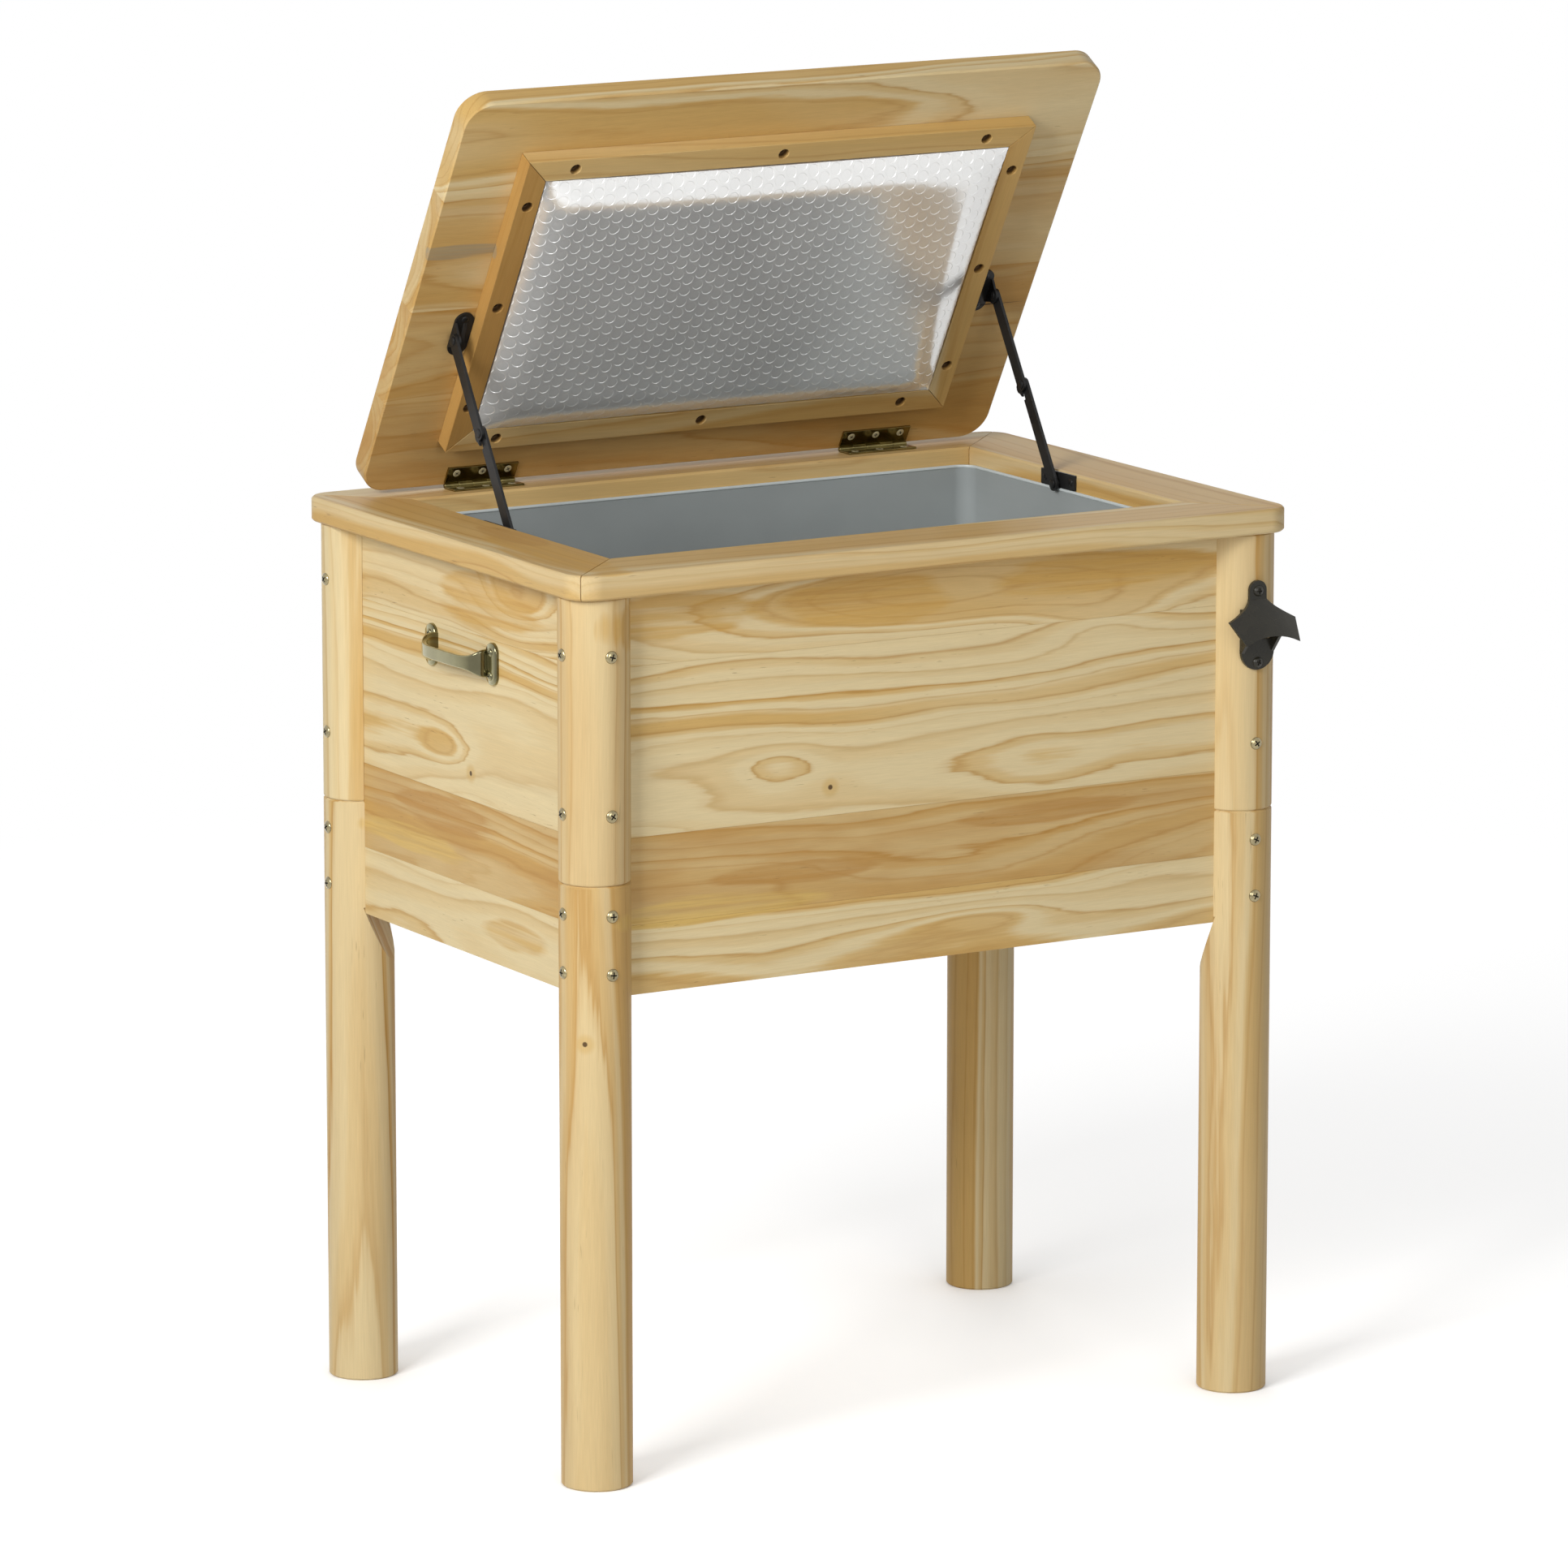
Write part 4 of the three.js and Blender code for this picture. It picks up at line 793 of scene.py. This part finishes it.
def ring_faces(shape, rings):
    """A closed body drawn through rings of points, with a face over each end."""
    made = [[shape.verts.new(point) for point in ring] for ring in rings]
    band_faces(shape, made)
    shape.faces.new(made[0])
    shape.faces.new(list(reversed(made[-1])))


def on_rim(x, forward, over):
    """A place on the rim, from X, the distance forward of the hinge pin, and the height over it."""
    return hinge_axis + Vector((x, -forward, over))


def hinge_leaf(node, place, x, level, knuckles):
    """A leaf: its plate with a tongue to each of its knuckles, and the rolled knuckles."""
    shape = bmesh.new()
    pitch = hinge_length / 5
    start = x - hinge_length / 2
    near = knuckle_radius + knuckle_gap

    def plate(low_x, high_x, low_y, high_y):
        ring_faces(shape, [
            [place(low_x, low_y, height), place(high_x, low_y, height),
             place(high_x, high_y, height), place(low_x, high_y, height)]
            for height in (level, level + leaf_thickness)])

    plate(start, start + hinge_length, near, leaf_depth)
    for index in knuckles:
        low_x = start + index * pitch + knuckle_gap / 2
        high_x = low_x + pitch - knuckle_gap
        plate(low_x, high_x, 0.0004, near)
        turns = [math.tau * step / knuckle_sides for step in range(knuckle_sides)]
        ring_faces(shape, [
            [place(along, knuckle_radius * math.cos(turn), knuckle_radius * math.sin(turn))
             for turn in turns] for along in (low_x, high_x)])
    mesh = new_mesh(node.replace("_", "-"), shape)
    finish(mesh, node, hinge_metal, "hinge_brass", hinge_arris)


for side, x in hinge_centres.items():
    hinge_leaf(f"{side}_hinge_rim_leaf", on_rim, x, rim_leaf_level, (0, 2, 4))
    hinge_leaf(f"{side}_hinge_lid_leaf", on_lid, x, lid_leaf_level, (1, 3))
    eased_copy(f"{side}_hinge_pin", hinge_metal, "hinge_brass", pin_arris)
    for leaf, body, place, level, way, seed in (
            ("rim", "chest", on_rim, rim_leaf_level + leaf_thickness, upright, 5),
            ("lid", "lid", on_lid, lid_leaf_level, lid_down, 6)):
        spots = [(place(x + step, hinge_screw_forward, level), way) for step in hinge_screw_steps]
        place_screws(f"{side}_hinge_{leaf}_screws", body, spots, *hinge_screw_head, bright_brass,
                     "hinge_brass", seed=seed)

# Folding lid stays: flat steel arms on domed rivets, between a plate on the side rail and one
# under the lid, all in satin black. The lower arm carries the hook that locks the elbow.
stay_steel = worn_metal("satin_black_steel", (0.015, 0.015, 0.015), 0.38, 0.2, 60.0, metallic=0.1,
                        shine=0.26)
stay_screw_head = (0.0066, 0.0009)
stay_arris = 0.00035
rail_plate_face = (0.2753, 0.76465)
rail_plate_screws = (0.012, 0.053)
lid_plate_face = (0.258, 0.0005)
lid_plate_screws = (0.1505, 0.1815)
for side, sign in (("left", -1), ("right", 1)):
    for part in ("box_plate", "box_stud", "lid_plate", "lid_rivet", "upper_arm", "elbow_rivet",
                 "lower_arm"):
        eased_copy(f"{side}_stay_{part}", stay_steel, "black_steel", stay_arris)
    across, height = rail_plate_face
    rail_spots = [((sign * across, y, height), (-sign, 0, 0)) for y in rail_plate_screws]
    across, height = lid_plate_face
    lid_spots = [
        (on_lid(sign * across, forward, height), lid_down) for forward in lid_plate_screws]
    for plate, body, spots, seed in (
            ("rail", "chest", rail_spots, 11), ("lid", "lid", lid_spots, 12)):
        place_screws(f"{side}_stay_{plate}_screws", body, spots, *stay_screw_head, stay_steel,
                     "black_steel", seed=seed)

# Handles: one on each side wall, cast in antique brass and polished. A flat band bows out from
# two oblong feet and widens into them, and four screws hold it.
# The band is painted much paler where it turns away: a painted sheen
handle_metal = worn_metal(
    "antique_brass", (0.140, 0.130, 0.074), 0.13, 0.10, 55.0, coat=0.20, rim=3.6)
handle_reach = 0.097
handle_out = 0.0225
handle_band = 0.0045
grip_height = 0.011
flare_height = 0.024
foot_spacing = 0.107
foot_size = (0.018, 0.0365, 0.0035)
foot_dome = ((0.0, 0.0), (0.55, 0.0), (0.8, 0.0004), (1.0, 0.0013))
band_round = 0.0017
flare_power = 9
arch_power = 2 / 3.4
arch_steps = 64
side_wall_face = 0.323
handle_screw_head = (0.0075, 0.0020)
handle_screw_rises = (-0.010, 0.010)


def rounded_ring(half_width, half_height, radius, steps=6):
    """Points round a rectangle with rounded corners, as [across, up]."""
    ring = []
    for corner, (sign_x, sign_y) in enumerate(((1, 1), (-1, 1), (-1, -1), (1, -1))):
        for step in range(steps + 1):
            angle = math.radians(90 * corner + 90 * step / steps)
            ring.append((
                sign_x * (half_width - radius) + radius * math.cos(angle),
                sign_y * (half_height - radius) + radius * math.sin(angle)))
    return ring


def arch_point(angle, half_length, height):
    """A point of the bowed band: along the wall, and out from it."""
    along = math.copysign(abs(math.cos(angle)) ** arch_power, math.cos(angle))
    return Vector((half_length * along, height * abs(math.sin(angle)) ** arch_power))


def handle_mesh(name, centre, sign):
    """The band and its two feet, standing out from a side wall."""
    shape = bmesh.new()
    rings = []
    for step in range(arch_steps + 1):
        angle = math.pi * (1 - step / arch_steps)
        outer = arch_point(angle, handle_reach / 2, handle_out)
        inner = arch_point(angle, handle_reach / 2 - handle_band, handle_out - handle_band)
        share = abs(outer.x + inner.x) / (handle_reach - handle_band)
        height = grip_height + (flare_height - grip_height) * share ** flare_power
        rings.append([])
        for across, up in rounded_ring(handle_band / 2, height / 2, band_round):
            point = inner.lerp(outer, 0.5 + across / handle_band)
            rings[-1].append(centre + Vector((sign * point.y, point.x, up)))
    ring_faces(shape, rings)
    width, height, thick = foot_size
    for end in (-1, 1):
        rings = []
        for share, inset in foot_dome:
            reach = width / 2 - inset
            rings.append([
                centre + Vector((sign * thick * share, end * foot_spacing / 2 + across, up))
                for across, up in rounded_ring(reach, height / 2 - inset, reach - 0.0001, 10)])
        ring_faces(shape, rings)
    mesh = new_mesh(name, shape)
    mesh.materials.append(handle_metal)
    shade_smooth(mesh, 38)
    return mesh


for side, sign in (("left", -1), ("right", 1)):
    low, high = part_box(f"{side}_handle")
    centre = Vector((sign * side_wall_face, (low.y + high.y) / 2, (low.z + high.z) / 2))
    handle = put(f"{side}-handle", handle_mesh(f"{side}-handle", centre, sign))
    fit(handle, "chest", "handle_brass", f"{side}_handle")
    spots = [
        (centre + Vector((sign * foot_size[2], end * foot_spacing / 2, rise)), (sign, 0, 0))
        for end in (-1, 1) for rise in handle_screw_rises]
    place_screws(f"{side}_handle_screws", "chest", spots, *handle_screw_head, handle_metal,
                 "handle_brass", [f"{side}_handle_screw_{count}" for count in (1, 2, 3, 4)],
                 seed=21)

# Bottle opener: a cast hood on a plate with a tab above it, in bronze black. Two screws go
# through it into the corner post, the upper one in place of a post screw.
# The hood is painted paler where it turns away: a painted sheen
opener_metal = worn_metal(
    "bronze_black", (0.020, 0.018, 0.012), 0.28, 0.15, 70.0, metallic=0.1, pit=0.00001, rim=2.2,
    shine=0.34)
eased_copy("bottle_opener", opener_metal, "black_steel", 0.0005)
opener_screw_head = (0.0095, 0.0026)
opener_x, opener_face = 0.3124, -0.2299
opener_spots = [((opener_x, opener_face, height), (0, -1, 0)) for height in (0.703, 0.6415)]
place_screws("opener_screws", "chest", opener_spots, *opener_screw_head, opener_metal,
             "black_steel", ["opener_screw_1", "opener_screw_2"], seed=31)

# Liner: a tub of blue-grey plastic, moulded with rounded corners and a thin beaded lip. It hangs
# inside the foam, and a drain leaves through its floor.
liner_wall = 0.0012
lip_bead = 0.0022
liner_corner = 0.016
floor_round = 0.010
drain_hole_radius = 0.0103


def moulded_plastic(name, colour, roughness, scuff, lip_height=None):
    """Plastic with a fine moulded grain, slight clouding and faint scuffs. Just under the height of
    its lip, where one is given, it is painted pale: a painted highlight."""
    made, tree = blank_material(name)
    place = own_place(tree)
    drawn = vectors(tree, "MULTIPLY", place, (14.0, 14.0, 160.0))
    scuffs = add_node(tree, "ShaderNodeTexNoise", {
        "Vector": drawn, "Scale": 1.0, "Detail": 4.0}).outputs["Fac"]
    shade = remap(tree, soft_noise(tree, 9.0, 3.0), 0.93, 1.07)
    if lip_height:
        height = add_node(tree, "ShaderNodeSeparateXYZ", {0: place}).outputs["Z"]
        painted_lip_highlight = remap(tree, height, 1.0, 1.8, lip_height - 0.0030, lip_height - 0.0024)
        shade = maths(tree, "MULTIPLY", shade, painted_lip_highlight)
    close_material(tree, {
        "Base Color": shaded(tree, colour, shade),
        "Roughness": remap(tree, scuffs, roughness, roughness + scuff, 0.35, 0.7),
        "Specular IOR Level": 0.5,
        "Normal": relief(tree, soft_noise(tree, 900.0, 1.0), 0.3, 0.00004)})
    return made


low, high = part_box("liner_tub")
middle = (low + high) / 2
half = (high - low) / 2
rings = []


def tub_ring(inset, height):
    """The outline of the tub at one height, drawn in from its outside."""
    return [(middle.x + across, middle.y + up, height) for across, up in rounded_ring(
        half.x - inset, half.y - inset, liner_corner - inset, 8)]


def floor_rings(inset, steps):
    """The rings that round the floor into the walls, drawn in from the outside of the tub."""
    radius = floor_round - inset
    for step in steps:
        angle = math.radians(18 * step)
        rings.append(tub_ring(
            inset + radius * (1 - math.sin(angle)), low.z + inset + radius * (1 - math.cos(angle))))


floor_rings(0.0, range(6))
for inset, below in ((0.0, 0.0006), (0.0003, 0.0), (lip_bead - 0.0004, 0.0), (lip_bead, 0.0005),
                     (lip_bead, 0.0020), (liner_wall, 0.0026)):
    rings.append(tub_ring(inset, high.z - below))
floor_rings(liner_wall, range(5, -1, -1))
shape = bmesh.new()
ring_faces(shape, rings)
tub_mesh = new_mesh("liner-tub", shape)
# Its top is painted pale along the lip: a painted highlight
tub_mesh.materials.append(moulded_plastic(
    "blue_grey_liner", (0.305, 0.330, 0.328), 0.30, 0.18, lip_height=high.z))
tub = put("liner-tub", tub_mesh)

# The floor is bored for the drain
drain_low, drain_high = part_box("drain_fitting")
drain_place = (drain_low + drain_high) / 2
drain_place.z = low.z
shape = bmesh.new()
bmesh.ops.create_cone(
    shape, cap_ends=True, segments=48, radius1=drain_hole_radius, radius2=drain_hole_radius,
    depth=0.01, matrix=Matrix.Translation(drain_place))
bore = put("drain-bore", new_mesh("drain-bore", shape))
boring = tub.modifiers.new("drain_hole", "BOOLEAN")
boring.object = bore
boring.operation = "DIFFERENCE"
boring.solver = "EXACT"
settle(tub)
bpy.data.objects.remove(bore)
shade_smooth(tub.data, 50)
tub.modifiers.new("even_shading", "WEIGHTED_NORMAL").keep_sharp = True
fit(tub, "chest", "liner_plastic", "liner_tub")

# Drain: a flanged tube of black plastic through the floor, closed from below by a push-on cap.
# Both keep the shapes of their solids, with their edges eased.
drain_black = moulded_plastic("black_drain_plastic", (0.022, 0.023, 0.025), 0.42, 0.15)
eased_copy("drain_fitting", drain_black, "black_plastic", 0.0003)
eased_copy("drain_cap", drain_black, "black_plastic", 0.0005)

# Insulation: white bead foam between the tub and the walls, cut from sheet. Only a line of it
# shows, where the tub leaves a gap.
foam, tree = blank_material("bead_foam")
beads = add_node(tree, "ShaderNodeTexVoronoi", {
    "Vector": own_place(tree), "Scale": 320.0}).outputs["Distance"]
close_material(tree, {
    "Base Color": shaded(tree, (0.82, 0.82, 0.80), remap(tree, beads, 1.0, 0.86, 0.0, 0.8)),
    "Roughness": 0.85, "Normal": relief(tree, beads, 0.6, 0.0006, invert=True)})
cad["insulation"].data.materials.clear()
cad["insulation"].data.materials.append(foam)

# Foil pad: bubble sheet faced with silver foil, bedded between the battens and swelling a
# little out of them. Between the trapped bubbles' rims the foil is drawn in, so that each shows
# as a shallow round dent, in columns set half a step apart.
pad_half = (0.2271, 0.1318)
pad_middle = 0.2013
pad_back = 0.0022
pad_edge_level = -0.0122
pad_crown_level = -0.0243
pad_draw_in = 0.0012
pad_roll = 0.034
crown_share = 0.2
column_step = 0.0110
bubble_step = 0.0120
dent_radius = 0.0051
dent_depth = 0.00019


def pad_place(x, forward, lift):
    """A point of the pad's face, from its place on the flat sheet and its height over it."""
    u = max(-1.0, min(1.0, x / pad_half[0]))
    v = max(-1.0, min(1.0, forward / pad_half[1]))
    swell = crown_share * (1 - u * u) * (1 - v * v)
    rolled = 1 - crown_share
    for inset in (pad_half[0] * (1 - abs(u)), pad_half[1] * (1 - abs(v))):
        rolled *= 1 - (1 - min(inset / pad_roll, 1.0)) ** 2
    swell += rolled
    level = pad_edge_level + swell * (pad_crown_level - pad_edge_level)
    return on_lid(
        u * (pad_half[0] - pad_draw_in * (1 - v ** 2)),
        pad_middle + v * (pad_half[1] - pad_draw_in * (1 - u ** 2)), level - lift)


def bubble_cell():
    """One six-sided piece of the flat sheet, with the dent of one bubble in its middle."""
    side_x = (column_step ** 2 - (bubble_step / 2) ** 2) / (2 * column_step)
    far_x = column_step - side_x
    corners = [Vector((x, y * bubble_step / 2, 0)) for x, y in (
        (far_x, 0), (side_x, 1), (-side_x, 1), (-far_x, 0), (-side_x, -1), (side_x, -1))]
    outline = [
        one.lerp(two, share / 3) for one, two in zip(corners, corners[1:] + corners[:1])
        for share in range(3)]
    shape = bmesh.new()
    rings = [[shape.verts.new(point) for point in outline]]
    for share, depth in ((1.0, 0.0), (0.945, 1.0), (0.55, 1.0)):
        drop = Vector((0, 0, dent_depth * depth))
        rings.append([
            shape.verts.new(point.normalized() * dent_radius * share - drop)
            for point in outline])
    band_faces(shape, rings)
    middle = shape.verts.new((0, 0, -dent_depth))
    for step in range(len(outline)):
        shape.faces.new((rings[-1][step], rings[-1][(step + 1) % len(outline)], middle))
    mesh = bpy.data.meshes.new("bubble-cell")
    shape.to_mesh(mesh)
    shape.free()
    return bpy.data.objects.new("bubble-cell", mesh)


def bubble_tree():
    """Geometry nodes: one cell on every point, joined into a sheet and made uneven."""
    tree, given = growing_tree("bubble_sheet", {
        "Cell": "Object", "Join Distance": "Float", "Unevenness": "Float", "Seed": "Int",
        "Foil": "Material"})
    cell = add_node(tree, "GeometryNodeObjectInfo", {"Object": given["Cell"]})
    cells = geometry(tree, "InstanceOnPoints", {
        "Points": given["Points"], "Instance": cell.outputs["Geometry"]})
    real = geometry(tree, "RealizeInstances", {"Geometry": cells})
    joined = geometry(tree, "MergeByDistance", {
        "Geometry": real, "Distance": given["Join Distance"]})
    sway = add_node(tree, "ShaderNodeTexNoise", {
        "Vector": geometry(tree, "InputPosition"), "W": given["Seed"], "Scale": 62.0,
        "Detail": 1.0}, noise_dimensions="4D").outputs["Color"]
    sway = vectors(tree, "SUBTRACT", sway, (0.5, 0.5, 0.5))
    reach = add_node(tree, "ShaderNodeCombineXYZ", {
        0: given["Unevenness"], 1: given["Unevenness"]}).outputs[0]
    uneven = geometry(tree, "SetPosition", {
        "Geometry": joined, "Offset": vectors(tree, "MULTIPLY", sway, reach)})
    foiled = geometry(tree, "SetMaterial", {"Geometry": uneven, "Material": given["Foil"]})
    add_node(tree, "NodeGroupOutput", {0: foiled})
    return tree


foil, tree = blank_material("silver_foil_face")
crinkle = soft_noise(tree, 260.0, 3.0, 0.6)
waves = soft_noise(tree, 14.0, 2.0)
close_material(tree, {
    "Base Color": shaded(tree, (0.93, 0.93, 0.92), remap(tree, waves, 0.92, 1.0)),
    "Roughness": remap(tree, waves, 0.14, 0.22), "Metallic": 0.56,
    "Normal": relief(tree, crinkle, 0.25, 0.00010)})

columns = int(pad_half[0] / column_step) + 1
rows = int(pad_half[1] / bubble_step) + 1
lattice = [
    ((column * column_step, (row + column % 2 / 2) * bubble_step, 0), (0, 0, 1))
    for column in range(-columns, columns + 1) for row in range(-rows, rows + 1)]
pad = grown("foil-pad", lattice, bubble_tree(), {
    "Cell": bubble_cell(), "Join Distance": 0.0001, "Unevenness": 0.0009, "Seed": 4, "Foil": foil})

# The flat sheet is trimmed to size, laid over the crown, and closed down to the lid
shape = bmesh.new()
shape.from_mesh(pad.data)
for edge_x, edge_y, out in ((1, 0, pad_half[0]), (-1, 0, pad_half[0]), (0, 1, pad_half[1]),
                            (0, -1, pad_half[1])):
    way = Vector((edge_x, edge_y, 0))
    bmesh.ops.bisect_plane(
        shape, geom=shape.verts[:] + shape.edges[:] + shape.faces[:], dist=1e-6,
        plane_co=way * out, plane_no=way, clear_outer=True)
for vert in shape.verts:
    vert.co = pad_place(vert.co.x, vert.co.y, vert.co.z)
border = [edge for edge in shape.edges if edge.is_boundary]
skirt = bmesh.ops.extrude_edge_only(shape, edges=border)["geom"]
for item in skirt:
    if isinstance(item, bmesh.types.BMVert):
        shut = lid_turn.transposed() @ (item.co - hinge_axis)
        shut.z = pad_back
        item.co = hinge_axis + lid_turn @ shut
bmesh.ops.holes_fill(shape, edges=[e for e in shape.edges if e.is_boundary], sides=0)
bmesh.ops.recalc_face_normals(shape, faces=shape.faces)
shape.to_mesh(pad.data)
shape.free()
shade_smooth(pad.data, 14)
fit(pad, "lid", "silver_foil", "foil_pad")
